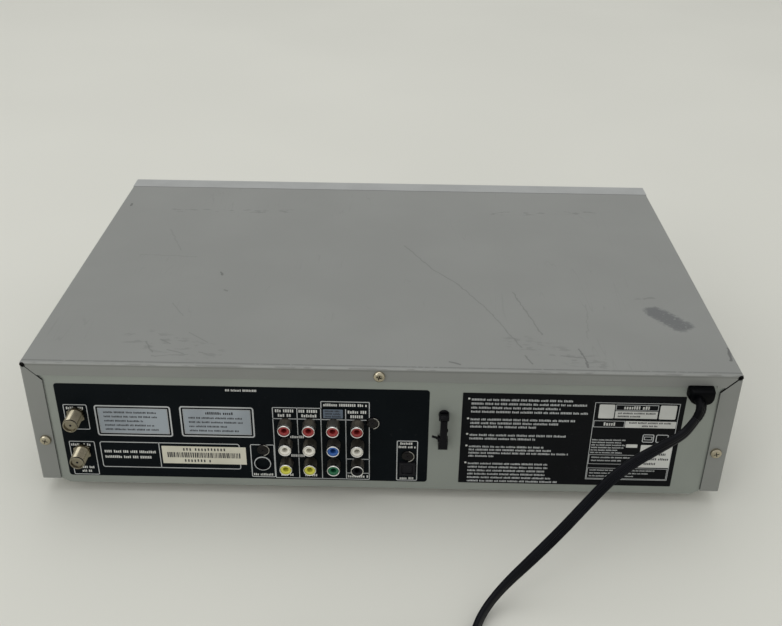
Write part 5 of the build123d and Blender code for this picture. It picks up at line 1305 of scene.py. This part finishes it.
@dataclass
class Labels:
    """The printed areas of the rear panel, with plain bars in place of words.

    Attributes:
        thick: How thick the ground of an area is.
        layer: How thick the print on it is.
        socket_rows: The rows of bars beside the sockets.
        table_edges: The upright lines of the table round the jacks, from the reader's left.
        table_heights: Its foot, its head and the top of its raised part.
        bullets: For each bulleted group of the sticker: top, pitch, height of the bars and their widths.
    """

    thick: float = 0.10
    layer: float = 0.035
    socket_area: Extent = (-30.0, 197.2, TOP_Z - 85.0, TOP_Z - 15.0)
    shutter_hole: Extent = (-22.2, -12.6, 19.2, 28.8)
    sticker_area: Extent = (-184.05, -49.9, TOP_Z - 84.8, TOP_Z - 16.2)
    socket_frames: tuple[tuple[Extent, float], ...] = (
        ((179.1, 193.8, 48.9, 67.7), 0.5),
        ((178.0, 194.2, 13.6, 39.9), 0.5),
        ((-23.8, -10.6, 13.8, 45.1), 0.55),
        ((65.7, 80.9, 14.3, 40.0), 0.55),
    )
    socket_rows: tuple[Row, ...] = (
        Row(93.4, 19.6, 80.2, 1.5),
        Row(192.0, 11.4, 64.9, 1.9),
        Row(193.0, 12.6, 37.2, 1.9),
        Row(190.4, 9.8, 19.5, 1.7),
        Row(188.8, 7.0, 16.5, 1.7),
        Row(-12.8, 8.6, 42.9, 1.7),
        Row(-11.8, 10.6, 40.2, 1.6),
        Row(-12.8, 9.2, 15.6, 1.8),
        Row(79.6, 12.6, 16.4, 1.7),
    )
    table_edges: tuple[float, ...] = (65.8, 50.6, 36.1, 20.9, 6.2)
    table_heights: Triple = (13.8, 68.5, 73.6)
    plates: tuple[Extent, Extent] = ((128.1, 174.9, 44.6, 67.5), (77.2, 122.6, 45.1, 67.9))
    bullets: tuple[tuple[float, float, float, tuple[float, ...]], ...] = (
        (77.0, 2.95, 1.5, (62.5, 69.6, 54.6, 70.9)),
        (62.4, 2.7, 1.5, (63.8, 54.0, 40.9)),
        (50.7, 2.75, 1.5, (59.4, 40.5)),
        (41.8, 2.45, 1.35, (46.0, 51.0, 62.0, 16.0)),
        (28.6, 2.75, 1.35, (50.0, 50.0, 49.0, 49.0, 53.0, 57.0)),
    )
    rng: random.Random = field(default_factory=lambda: random.Random(31))

    def _ink(self, layers: int = 0, deep: int = 1) -> Ink:
        """An ink on the ground, over a number of layers of print and as thick as a number of them."""
        return Ink(self.thick + layers * self.layer, self.rng, deep * self.layer)

    def _ground(self) -> Ink:
        """The ground of an area, on the panel."""
        return Ink(0.01, self.rng, self.thick)

    def around_sockets(self) -> None:
        """The long printed area round the sockets, in four plates round the optical flap's hole."""
        left, right, foot, top = self.socket_area
        hole_left, hole_right, hole_foot, hole_top = self.shutter_hole
        ground, silver, white = self._ground(), self._ink(), self._ink()
        ground.plate((hole_right, right, foot, top), (2.0, 0.0, 0.0, 2.0))
        ground.plate((left, hole_left, foot, top), (0.0, 2.0, 2.0, 0.0))
        ground.plate((hole_left, hole_right, foot, hole_foot), 0.0)
        ground.plate((hole_left, hole_right, hole_top, top), 0.0)
        for extent, line in self.socket_frames:
            silver.frame(extent, line, 1.0)
        for row in self.socket_rows:
            white.words(row)
        self._table(silver, white)
        self._plates(silver, white)
        ground.place("socket_print", "print_ground")
        silver.place("socket_print_lines", "print_silver")
        white.place("socket_print_bars", "print_white")

    def _table(self, silver: Ink, white: Ink) -> None:
        """The ruled table round the twelve jacks.

        Args:
            silver: The ink of its lines.
            white: The ink of its bars.
        """
        edges, line, rule = self.table_edges, 0.5, 60.0
        foot, head, peak = self.table_heights
        silver.frame((edges[4], edges[0], foot, head), line, 0.7)
        silver.frame((edges[4], edges[2], head - line, peak), line, 0.8)
        for low, high in ((foot, 30.4), (33.6, 44.8), (48.0, head)):
            silver.upright(edges[1], low, high, line)
        for x in edges[2:4]:
            silver.upright(x, foot, head, line)
        silver.bar(edges[4], edges[0], rule, line)
        for z in (30.0, 18.9):
            silver.bar(edges[4], edges[3], z, line)
        for right, wide in ((64.0, 11.6), (49.6, 12.4), (19.6, 12.0)):
            white.words(Row(right, wide, 65.9, 2.1))
            white.words(Row(right - 1.6, wide - 3.4, 62.5, 2.1))
        white.words(Row(34.4, 26.8, 70.9, 1.9))
        shade, ink = self._ink(), self._ink(1)
        shade.plate((22.6, 34.6, 61.0, 67.6), 0.3)
        ink.column(33.6, 66.3, 2.0, 1.2, (10.2, 10.2, 10.2))
        shade.place("table_shade", "print_shade")
        ink.place("table_shade_ink", "print_ink")
        white.column(55.4, 46.4, 14.5, 1.9, (8.8, 8.8))
        for right in (62.2, 47.0):
            white.words(Row(right, 8.2, 16.6, 1.8))
        white.words(Row(20.0, 12.8, 16.3, 1.9))

    def _plates(self, silver: Ink, white: Ink) -> None:
        """Two pale plates in thick frames, and the ruled box with its cream sticker.

        Args:
            silver: The ink of the lines.
            white: The ink of the bars.
        """
        pale, ink, cream = self._ink(), self._ink(1), self._ink(0, 2)
        for left, right, foot, top in self.plates:
            silver.frame((left, right, foot, top), 0.9, 1.8)
            silver.frame((left + 2.0, right - 2.0, foot + 2.0, top - 2.0), 0.3, 0.3)
            pale.plate((left + 2.4, right - 2.4, foot + 2.4, top - 2.4), 0.2)
        ink.column(169.6, 62.4, 3.2, 1.3, (33.0, 33.6, 24.0, 31.0, 33.6))
        ink.words(Row(106.8, 17.8, 63.0, 1.9))
        ink.column(117.4, 59.4, 3.2, 1.3, (33.0, 33.6, 24.0, 31.0))
        silver.frame((87.4, 175.0, 20.0, 40.0), 0.55, 1.6)
        silver.upright(137.9, 20.0, 40.0, 0.5)
        for z, wide in ((32.4, 32.6), (28.2, 29.4)):
            white.words(Row(172.6, wide, z, 1.9))
        cream.plate((83.7, 136.4, 23.9, 37.4), 0.2)
        ink.level += self.layer
        self._strip_of_bars(ink)
        pale.place("pale_plates", "print_plate")
        cream.place("cream_sticker", "print_cream")
        ink.place("plate_ink", "print_ink")

    def _strip_of_bars(self, ink: Ink) -> None:
        """The uneven strip of upright bars on the cream sticker, with a row of blocks over and under it.

        Args:
            ink: The ink of the bars.
        """
        place = 133.2
        while place > 87.4:
            wide = self.rng.choice((0.3, 0.45, 0.8))
            ink.bar(place - wide, place, 30.7, 4.0)
            place -= wide + self.rng.choice((0.3, 0.45, 0.6))
        for right, end, z in ((123.0, 96.0, 35.1), (122.6, 104.4, 26.3)):
            while right > end:
                ink.bar(right - 0.9, right, z + self.rng.uniform(-0.2, 0.2), 2.0)
                right -= 2.0 if self.rng.random() < 0.9 else 3.4

    def sticker(self) -> None:
        """The square black sticker near the lead, with bulleted rows and a ruled block."""
        ground, silver, white = self._ground(), self._ink(), self._ink()
        ground.plate(self.sticker_area, 0.6)
        for z, pitch, tall, widths in self.bullets:
            white.shape.disc(Vector((-53.8, PANEL_Y + white.level, z + 0.6)), OUTWARD, 0.7, white.thick, 16)
            silver.column(-55.4, z, pitch, tall, widths)
        self._block(silver, white)
        ground.place("square_sticker", "sticker_ground")
        silver.place("square_sticker_lines", "print_silver")
        white.place("square_sticker_bars", "print_white")

    def _block(self, silver: Ink, white: Ink) -> None:
        """The ruled block of the square sticker, with plain light fields.

        Args:
            silver: The ink of the lines.
            white: The ink of the fields.
        """
        ink = self._ink(1)
        left, right = -181.1, -129.8
        silver.frame((left, right, 17.8, 76.6), 0.35, 0.3)
        white.plate((-142.0, -132.6, 65.0, 75.2), 0.8)
        white.plate((-179.4, -169.4, 65.0, 75.2), 0.8)
        silver.frame((-168.3, -142.6, 71.0, 75.2), 0.35, 0.2)
        white.words(Row(-147.6, 15.6, 73.1, 2.3))
        white.plate((-168.3, -142.6, 65.2, 70.5), 0.2)
        ink.column(-144.4, 69.0, 2.3, 1.2, (22.6, 14.0))
        silver.frame((-149.3, right - 0.6, 58.3, 63.3), 0.35, 0.2)
        white.words(Row(-136.6, 7.4, 60.8, 2.4))
        white.plate((left + 0.6, -149.6, 58.3, 63.3), 0.2)
        for z, wide in ((62.0, 26.0), (59.7, 10.0)):
            ink.words(Row(-152.0 - (26.0 - wide) / 2, wide, z, 1.2))
        silver.column(-130.9, 48.7, 1.95, 0.95, (21.0, 18.4, 22.0, 20.0, 16.4, 19.6))
        white.plate((-159.3, -152.3, 43.2, 45.7), 0.4)
        for extent in ((-168.6, -161.5, 47.4, 53.5), (-177.4, -169.8, 47.4, 53.5)):
            silver.frame(extent, 0.55, 1.0)
        silver.frame((-167.6, -162.6, 49.2, 51.8), 0.4, 0.2)
        white.plate((-180.8, -161.5, 27.9, 45.4), 0.3)
        ink.column(-165.0, 42.0, 3.7, 1.7, (9.0, 12.6, 15.0, 7.6))
        silver.frame((-159.6, right - 0.5, 30.0, 37.4), 0.3, 0.2)
        silver.column(-132.0, 35.2, 2.4, 1.0, (24.0, 19.0))
        silver.frame((left + 0.7, right - 0.6, 18.5, 27.0), 0.3, 0.2)
        silver.column(-132.0, 25.2, 2.3, 0.9, (41.0, 37.0, 28.0))
        ink.place("square_sticker_ink", "print_ink")

    def build(self) -> None:
        """Builds both printed areas."""
        self.around_sockets()
        self.sticker()


@dataclass
class Lead:
    """The flat mains lead: its strain relief, its way down to the floor, its coil and its plug.

    Attributes:
        low: How high its line lies where it rests on edge on the floor.
        head_rings: The head of the relief: height over the panel, half width, reach up and reach down.
        seen_side: The way to the side from which its flat is seen.
        turns: How far the flat is turned, in degrees, after each length.
        edgeways: How far it stands on edge, from 0 to 1, after each length.
        plug_steps: The plug: distance from its face, width and thickness.
    """

    width: float = 6.8
    thick: float = 3.5
    low: float = 3.4
    grommet_x: float = -191.8
    grommet_z: float = TOP_Z - 7.7 - 5.1
    head_rings: tuple[tuple[float, ...], ...] = (
        (0.0, 8.0, 4.9, 5.1), (1.6, 7.8, 4.9, 5.1), (5.6, 7.3, 4.8, 5.0), (6.7, 6.8, 4.3, 4.6),
        (7.0, 6.2, 3.7, 4.0),
    )
    boot_steps: int = 20
    exit_run: float = 7.0
    lead_x: float = -48.0
    coil_y: float = 318.0
    coil_radius: float = 44.0
    turn_pitch: float = 4.2
    layer_rise: float = 7.3
    half_turns: int = 4
    points_per_turn: int = 16
    seen_side: Vector = field(default_factory=lambda: Vector((0.0, 0.87, 0.49)))
    turns: Profile = (
        (0.0, -46.0), (16.0, -38.0), (48.0, -12.0), (110.0, -16.0), (165.0, -50.0), (185.0, -50.0),
    )
    edgeways: Profile = ((0.0, 0.0), (178.0, 0.0), (197.0, 1.0))
    plug_steps: tuple[Triple, ...] = (
        (0.0, 18.0, 10.2), (2.0, 20.0, 12.0), (16.0, 20.0, 12.0), (20.0, 15.0, 10.4),
        (24.0, 12.6, 8.8), (31.0, 9.4, 6.6),
    )
    blade_thick: float = 1.5
    blade_widths: tuple[float, float] = (6.35, 7.9)

    def __post_init__(self) -> None:
        """Works out where the boot turns and where the lead leaves it."""
        self.boot_start = Vector((self.grommet_x + 1.3, PANEL_Y + 7.0, self.grommet_z))
        self.boot_out = Vector((0.1, 1.0, 0.0)).normalized()
        self.lead_out = Vector((0.55, 0.33, -0.766)).normalized()
        self.boot_corner = self.boot_start + self.boot_out * 9.0
        self.start = self.boot_corner + self.lead_out * 8.0
        self.coil_x = self.lead_x + self.coil_radius

    def route(self) -> list[Vector]:
        """The chosen points of the stretch that isn't coiled.

        Returns:
            Its points, from the boot to the coil.
        """
        steps = (
            (16.0, 165.8, 70.2), (28.8, 173.4, 68.0), (45.0, 183.2, 65.4), (59.8, 192.2, 59.2),
            (73.3, 200.4, 47.9), (88.3, 209.7, 34.8), (104.8, 219.3, 22.0), (120.3, 228.8, 11.4),
            (131.3, 240.5, 5.2), (137.4, 254.5, self.low), (141.4, 272.0, self.low),
        )
        out = [self.start, self.start + self.lead_out * self.exit_run]
        fall = [Vector((self.grommet_x + x, y, z)) for x, y, z in steps]
        return out + fall + [Vector((self.lead_x, y, self.low)) for y in (292.0, self.coil_y - self.width)]

    def coil(self) -> list[Vector]:
        """The points of the turns, in along the floor and out on top.

        Returns:
            Its points, from the outermost turn in, a layer up and out again.
        """
        step = 2 * math.pi / self.points_per_turn
        swell = 1 / math.cos(step / 2) ** 2
        inward = self.half_turns * math.pi
        climb = inward + math.pi
        outward = climb + (self.half_turns - 1) * math.pi
        inner = self.coil_radius - self.turn_pitch * self.half_turns / 2
        points = []
        for i in range(1, round(outward / step) + 1):
            angle = i * step
            if angle <= inward:
                radius, rise = self.coil_radius - self.turn_pitch * angle / (2 * math.pi), 0.0
            elif angle <= climb:
                radius, rise = inner, self.layer_rise * eased((angle - inward) / math.pi)
            else:
                radius, rise = inner + self.turn_pitch * (angle - climb) / (2 * math.pi), self.layer_rise
            x = self.coil_x - radius * swell * math.cos(angle)
            y = self.coil_y + radius * swell * math.sin(angle)
            points.append(Vector((x, y, self.low + rise)))
        return points

    def tail(self) -> list[Vector]:
        """The points from the last turn to the plug.

        Returns:
            Its points, in order.
        """
        top = self.low + self.layer_rise
        steps = (
            (-41.0, 17.0, top), (-30.0, 37.0, top), (-12.0, 47.4, top), (9.0, 48.0, top),
            (30.0, 42.0, top - 0.8), (47.0, 29.0, top - 2.4), (57.5, 14.0, 6.6), (60.0, 3.0, 6.0),
            (60.0, -4.0, 6.0),
        )
        return [Vector((self.coil_x + x, self.coil_y + y, z)) for x, y, z in steps]

    def spine(self) -> list[Vector]:
        """The smooth line of the whole lead, read from its spline.

        Returns:
            The points that the spline passes.
        """
        points = self.route() + self.coil() + self.tail()
        data = bpy.data.curves.new("lead_line", "CURVE")
        data.dimensions = "3D"
        data.resolution_u = 6
        line = data.splines.new("NURBS")
        line.points.add(len(points) - 1)
        for spot, point in zip(line.points, points):
            spot.co = (*point, 1.0)
        line.order_u = 3
        line.use_endpoint_u = True
        holder = bpy.data.objects.new("lead_line", data)
        read = bpy.data.meshes.new_from_object(holder)
        found = [Vector(v.co) for v in read.vertices]
        bpy.data.objects.remove(holder)
        bpy.data.curves.remove(data)
        bpy.data.meshes.remove(read)
        return found

    def leans(self, spine: Sequence[Vector]) -> list[Vector]:
        """The way of the flat side at each point: turned as it was seen, and on edge on the floor.

        Args:
            spine: The points of its line.

        Returns:
            One direction for each point.
        """
        found = []
        run = 0.0
        for i, point in enumerate(spine):
            run += (point - spine[i - 1]).length if i else 0.0
            heading = ahead(spine, i)
            flat = heading.cross(self.seen_side).normalized()
            angle = math.radians(self._between(self.turns, run))
            flat.rotate(Matrix.Rotation(angle, 3, heading.normalized()))
            if flat.z < 0:
                flat.negate()
            found.append(flat.lerp(UPWARD, self._between(self.edgeways, run)).normalized())
        return found

    @staticmethod
    def _between(stations: Profile, run: float) -> float:
        """A smooth value between stations.

        Args:
            stations: Pairs of length and value.
            run: The length at which it is asked.

        Returns:
            The value there.
        """
        for (start, first), (end, last) in zip(stations, stations[1:]):
            if run < end:
                return first + (last - first) * eased(max(0.0, (run - start) / (end - start)))
        return stations[-1][1]

    @staticmethod
    def _section(wide: float, thick: float) -> list[tuple[float, float]]:
        """A section with rounded edges and two shallow lengthwise grooves on each face.

        Args:
            wide: Its width.
            thick: Its thickness.

        Returns:
            Its points, as pairs of across and through.
        """
        groove = ((0.18, 1.0), (0.27, 0.80), (0.36, 1.0), (0.62, 1.0))
        face = [(-a, b) for a, b in reversed(groove)] + list(groove)
        edge = [(0.86, 0.80), (0.97, 0.42), (1.0, 0.0), (0.97, -0.42), (0.86, -0.80)]
        half = [(a * wide / 2, b * thick / 2) for a, b in face + edge]
        return half + [(-a, -b) for a, b in half]

    def build(self) -> None:
        """Builds the lead, its strain relief and its plug."""
        spine = self.spine()
        shape = Shape()
        shape.tube(spine, self.leans(spine), [self._section(self.width, self.thick)] * len(spine))
        cord = shape.place("mains_lead", CASING, "cord_plastic")
        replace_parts(cord, "power_cord", "power_cord_coil")
        relief = self.relief()
        plug, blades = self.plug()

    def relief(self) -> bpy.types.Object:
        """The strain relief: a rounded head on the panel and a boot that tapers on to the lead.

        Returns:
            The piece.
        """
        shape = Shape()
        self._head(shape)
        self._boot(shape)
        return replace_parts(shape.place("lead_relief", CASING, "grommet_plastic"), "cord_grommet")

    def _head(self, shape: Shape) -> None:
        """The rounded head, and its block behind the panel.

        Args:
            shape: The shape that takes them.
        """
        seat = Vector((self.grommet_x + 0.6, PANEL_Y, self.grommet_z))
        sections = []
        for out, half, high, low in self.head_rings:
            upper, lower = 1.6, min(4.6, half - 0.4)
            outline = rounded((-half, half, -low, high), (upper, upper, lower, lower), 6)
            sections.append([seat + Vector((x, out, z)) for x, z in outline])
        shape.loft(sections)
        shape.box(seat + Vector((-6.4, -9.0, -3.5)), seat + Vector((6.4, -0.02, 3.5)))

    def _boot(self, shape: Shape) -> None:
        """The boot, which bends down and has shallow rings round it.

        Args:
            shape: The shape that takes it.
        """
        first = self.boot_start - self.boot_out * 2.0 + Vector((1.2, 0, -1.6))
        corner, last = self.boot_corner, self.start
        spine, sections = [], []
        for i in range(self.boot_steps + 1):
            t = i / self.boot_steps
            spine.append(first * (1 - t) ** 2 + corner * (2 * t * (1 - t)) + last * t**2)
            ring = 0.3 if i % 3 == 1 and i > 3 else 0.0
            sections.append(self._section(8.2 - 1.1 * t - ring, 5.0 - 1.2 * t - ring))
        lean = self.leans([last, last + self.lead_out])[0]
        shape.tube(spine, [lean] * len(spine), sections)

    def plug(self) -> tuple[bpy.types.Object, bpy.types.Object]:
        """The moulded plug and its two blades.

        Returns:
            The plug's body, and its blades.
        """
        low, high = node_box("plug_body")
        centre = (low + high) / 2
        shape = Shape()
        spine = [Vector((centre.x, low.y + out, centre.z)) for out, _, _ in self.plug_steps]
        sections = [
            rounded((-wide / 2, wide / 2, -thick / 2, thick / 2), thick * 0.3)
            for _, wide, thick in self.plug_steps
        ]
        shape.tube(spine, [SIDEWAYS] * len(spine), sections)
        shape.bevel(0.35)
        body = shape.place("plug_moulding", CASING, "plug_plastic")
        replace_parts(body, "plug_body")
        pins = Shape()
        low, high = node_box("plug_blades")
        for x, tall in zip((low.x, high.x - self.blade_thick), self.blade_widths):
            foot = Vector((x, low.y, centre.z - tall / 2))
            pins.box(foot, Vector((x + self.blade_thick, high.y + 0.5, centre.z + tall / 2)))
        pins.bevel(0.3)
        blades = pins.place("plug_pins", CASING, "blade_brass")
        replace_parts(blades, "plug_blades")
        return body, blades


@dataclass
class CordClip:
    """The black cord clip on the panel and its hinged strap.

    Attributes:
        peg_half: Half the width of the pegs that hold the clip in the panel.
        strap_line: The points of the strap: how high each lies, and how far it bows out.
        strap_sizes: Half the strap's width and half its thickness at each of these points.
        lever_tilt: How far the lever at the strap's foot is turned, in degrees.
    """

    x: float = -39.0
    foot_z: float = 45.8
    pivot_z: float = 65.8
    pivot_out: float = 4.2
    pin_radius: float = 0.9
    ear_radius: float = 2.5
    ear_wall: float = 0.65
    ear_starts: tuple[float, float] = (-3.0, 2.35)
    peg_half: float = 1.5
    strap_half: float = 2.2
    strap_out: float = 4.7
    strap_line: Profile = ((64.4, -0.3), (62.0, 0.1), (57.6, 0.25), (53.4, 0.15), (50.0, 0.0), (47.4, 0.0))
    strap_sizes: Profile = ((2.2, 1.05), (2.1, 1.0), (2.2, 0.85), (2.1, 0.95), (2.2, 1.1), (2.2, 1.1))
    lever_tilt: float = -20.0

    def _at(self, x: float, out: float, z: float) -> Vector:
        """A point by its distance from the clip's middle, its distance over the panel and its height."""
        return Vector((self.x + x, PANEL_Y + out, z))

    def base(self) -> None:
        """The foot, the round root of the pivot, the ears with their pin, and the pegs in the panel."""
        shape = Shape()
        shape.box(self._at(-2.9, 0.0, self.foot_z - 4.0), self._at(2.9, 4.3, self.foot_z + 3.6))
        shape.box(self._at(2.9, 0.0, self.foot_z + 1.2), self._at(3.3, 3.2, self.foot_z + 4.6))
        root = ((0.0, 0.0), (3.3, 0.0), (3.3, 0.9), (2.9, 1.2), (0.0, 1.2))
        shape.lathe(self._at(0.0, 0.0, self.pivot_z - 0.2), OUTWARD, root, 32)
        shape.bevel(0.5, 3)
        for start in self.ear_starts:
            ear = self._at(start, self.pivot_out - 0.8, self.pivot_z)
            shape.disc(ear, SIDEWAYS, self.ear_radius, self.ear_wall, 28)
            foot = self._at(start, 0.9, self.pivot_z - 2.0)
            shape.box(foot, self._at(start + self.ear_wall, self.pivot_out - 0.6, self.pivot_z + 2.0))
        half = self.peg_half
        for z in (self.pivot_z - 0.6, self.foot_z):
            shape.box(self._at(-half, -3.0, z - half), self._at(half, 0.1, z + half))
        shape.disc(self._at(-3.0, self.pivot_out, self.pivot_z), SIDEWAYS, self.pin_radius, 6.0, 20)
        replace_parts(shape.place("clip_base", CASING, "clip_plastic"), "cord_clip")

    def strap(self) -> None:
        """The band that swings down over the cord, with a bead on its side and a lever at its foot."""
        shape = Shape()
        spine = [self._at(0.0, self.strap_out + 1.1 + bow, z) for z, bow in self.strap_line]
        sections = [rounded((-wide, wide, -thick, thick), 0.7) for wide, thick in self.strap_sizes]
        shape.tube(spine, [SIDEWAYS] * len(spine), sections)
        barrel = ((0.98, 0.0), (2.15, 0.0), (2.3, 0.3), (2.3, 4.1), (2.15, 4.4), (0.98, 4.4), (0.98, 0.0))
        shape.lathe(self._at(-self.strap_half, self.pivot_out, self.pivot_z), SIDEWAYS, barrel, 32)
        tilt = Matrix.Rotation(math.radians(self.lever_tilt), 3, "Y")
        root = self._at(1.6, self.strap_out + 0.3, self.foot_z + 5.4)
        spine = [root + tilt @ Vector((reach, 0.8, 0)) for reach in (0.0, 2.4, 3.6, 5.6)]
        sections = [rounded((-thin, thin, -0.7, 0.7), 0.25) for thin in (0.8, 0.7, 0.45, 0.6)]
        shape.tube(spine, [tilt @ UPWARD] * len(spine), sections)
        bead = ((0.0, 0.0), (1.3, 0.0), (1.0, 0.6), (0.0, 0.75))
        shape.lathe(self._at(0.2 - self.strap_half, self.strap_out + 1.0, 57.6), -SIDEWAYS, bead, 20)
        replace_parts(shape.place("clip_band", "strap", "clip_plastic"), "clip_strap")

    def build(self) -> None:
        """Builds the base and the strap."""
        self.base()
        self.strap()


class Form(Enum):
    """The forms of a mark."""

    RECTANGLE = 0
    RIGHT = 1
    LEFT = -1


@dataclass(frozen=True)
class Mark:
    """A flat mark on a key: a rectangle, or a triangle that points right or left.

    Attributes:
        x: How far it lies to the right of the key's middle.
        z: How far it lies over that middle.
    """

    x: float
    z: float
    wide: float
    tall: float
    form: Form = Form.RECTANGLE

    def outline(self) -> list[tuple[float, float]]:
        """Its corners, as X and Z from the key's middle.

        Returns:
            Its corners in order.
        """
        half, up = self.wide / 2, self.tall / 2
        if self.form is Form.RECTANGLE:
            shape = ((-half, -up), (half, -up), (half, up), (-half, up))
        else:
            way = self.form.value * half
            shape = ((-way, -up), (-way, up), (way, 0.0))
        return [(self.x + x, self.z + z) for x, z in shape]


@dataclass
class FrontMarks:
    """Plain play, stop and direction marks on the front keys, and the round power key.

    Attributes:
        sunk: How far a mark's foot lies in its key.
        cap_gap: How far the lip of the power key lies behind the bezel's wall.
    """

    lift: float = 0.03
    sunk: float = 0.005
    marks: tuple[tuple[str, tuple[Mark, ...]], ...] = (
        ("eject", (Mark(0.0, -1.3, 4.0, 0.7), Mark(0.0, 0.6, 2.4, 1.4))),
        ("rewind", (Mark(-1.2, 0.0, 2.6, 2.6, Form.LEFT), Mark(1.4, 0.0, 2.6, 2.6, Form.LEFT))),
        ("play", (Mark(0.0, 0.0, 3.0, 3.0, Form.RIGHT),)),
        ("forward", (Mark(-1.4, 0.0, 2.6, 2.6, Form.RIGHT), Mark(1.2, 0.0, 2.6, 2.6, Form.RIGHT))),
        ("record", (Mark(0.0, 0.0, 2.2, 2.2),)),
        ("disc_open", (Mark(0.0, -1.0, 3.2, 0.6),)),
        ("disc_play", (Mark(0.0, 0.0, 2.4, 2.4, Form.RIGHT),)),
        ("disc_stop", (Mark(0.0, 0.0, 2.2, 2.2),)),
    )
    bezel_wall: float = 2.5
    cap_gap: float = 0.3

    def build(self) -> None:
        """Builds the marks, each riding with its key, and the power key."""
        for name, marks in self.marks:
            low, high = node_box(f"{name}_button")
            foot = Vector(((low.x + high.x) / 2, low.y + self.sunk, (low.z + high.z) / 2))
            shape = Shape()
            for mark in marks:
                shape.prism([foot + Vector((x, 0, z)) for x, z in mark.outline()], FORWARD * self.lift)
            shape.place(f"{name}_mark", f"{name}_key", "print_ink", "key_plastic")
        self.power()

    def power(self) -> None:
        """The round power key with a dished cap."""
        low, high = node_box("power_button")
        centre = (low + high) / 2
        lip = low.y - (FACE_Y + self.bezel_wall + self.cap_gap)
        root = low.y - high.y
        profile = (
            (0.0, root), (1.8, root), (1.8, lip - 1.2), (9.1, lip - 1.2), (9.1, lip), (7.95, lip),
            (7.95, -0.6), (7.4, 0.0), (6.6, 0.0), (5.8, -0.35), (0.0, -0.7),
        )
        shape = Shape()
        shape.lathe(Vector((centre.x, low.y, centre.z)), FORWARD, profile, 56)
        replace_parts(shape.place("power_key_cap", "power_key", "key_plastic"), "power_button")


@dataclass(frozen=True)
class Lamp:
    """A large round soft lamp, in metres and watts."""

    name: str
    place: Triple
    size: float
    power: float

    def hang(self, target: Vector) -> None:
        """Hangs the lamp so that it faces a point.

        Args:
            target: The point.
        """
        data = bpy.data.lights.new(self.name, "AREA")
        data.shape = "DISK"
        data.size = self.size
        data.energy = self.power
        lamp = bpy.data.objects.new(self.name, data)
        lamp.location = self.place
        lamp.rotation_euler = (target - Vector(self.place)).to_track_quat("-Z", "Y").to_euler()
        bpy.context.scene.collection.objects.link(lamp)


@dataclass
class Studio:
    """The floor, the soft lamps and the camera at the photograph's view.

    Attributes:
        camera_place: Where the camera stands, in millimetres.
        right: The way to the right of its picture.
        down: The way down its picture.
        forward: The way it looks.
    """

    camera_place: Triple = (-11.63, 625.82, 410.81)
    right: Triple = (-0.999778, -0.017915, 0.011054)
    down: Triple = (-0.018457, 0.493529, -0.869533)
    forward: Triple = (0.010122, -0.869545, -0.493751)
    floor_reach: float = 40.0
    floor_colour: Colour = (0.68, 0.68, 0.625)
    lamps: tuple[Lamp, ...] = (
        Lamp("lamp_above", (0.25, -0.3, 2.2), 2.2, 10.5),
        Lamp("lamp_side", (1.5, 1.9, 1.1), 1.4, 11.5),
    )
    lamp_target: Triple = (0.0, 0.0, 0.05)
    sky_colour: Colour = (1.0, 1.0, 0.985)
    sky: float = 0.71

    def floor(self) -> None:
        """A wide pale floor with a faint tone over it."""
        shape = bmesh.new()
        reach = self.floor_reach
        spots = ((-reach, -reach), (reach, -reach), (reach, reach), (-reach, reach))
        shape.faces.new([shape.verts.new((x, y, 0.0)) for x, y in spots])
        data = bpy.data.meshes.new("floor")
        shape.to_mesh(data)
        shape.free()
        graph = Graph("floor_paper")
        haze = graph.noise(400.0, 2.0)
        darker = tuple(c * 0.97 for c in self.floor_colour)
        graph.colour(graph.mix(haze.ramp(0.3, 0.7), darker, self.floor_colour))
        graph.set(roughness=haze * 0.05 + 0.85)
        data.materials.append(graph.material)
        floor = bpy.data.objects.new("floor", data)
        bpy.context.scene.collection.objects.link(floor)

    def light(self) -> None:
        """One broad lamp above and one at the side, in an even white room."""
        for lamp in self.lamps:
            lamp.hang(Vector(self.lamp_target))
        world = bpy.data.worlds.new("room")
        world.use_nodes = True
        background = world.node_tree.nodes["Background"]
        background.inputs["Color"].default_value = (*self.sky_colour, 1.0)
        background.inputs["Strength"].default_value = self.sky
        bpy.context.scene.world = world

    def camera(self) -> None:
        """The camera that was solved from the photograph."""
        data = bpy.data.cameras.new("camera")
        data.sensor_fit = "HORIZONTAL"
        data.sensor_width = SENSOR_MM
        data.lens = FOCAL_PIXELS / IMAGE_WIDTH * SENSOR_MM
        data.clip_start = 0.01
        data.clip_end = 50.0
        camera = bpy.data.objects.new("camera", data)
        columns = Matrix((self.right, [-v for v in self.down], [-v for v in self.forward])).transposed()
        camera.matrix_world = Matrix.Translation(Vector(self.camera_place) * MM) @ columns.to_4x4()
        bpy.context.scene.collection.objects.link(camera)
        bpy.context.scene.camera = camera

    def build(self) -> None:
        """Builds the stage."""
        self.floor()
        self.light()
        self.camera()
        bpy.context.scene.view_settings.view_transform = "Standard"


def corners(box: Iterable[Sequence[float]]) -> list[list[float]]:
    """A box as plain lists."""
    return [[float(v) for v in corner] for corner in box]


def main() -> None:
    """Builds the dressed player."""
    logging.basicConfig(level=logging.INFO, format="%(message)s")
    for assembly in (Studio(), Casing(), Sockets(), Labels(), Lead(), CordClip(), FrontMarks()):
        assembly.build()
        log.info("%s done", type(assembly).__name__)
    bpy.context.view_layer.update()


if __name__ == "__main__":
    main()
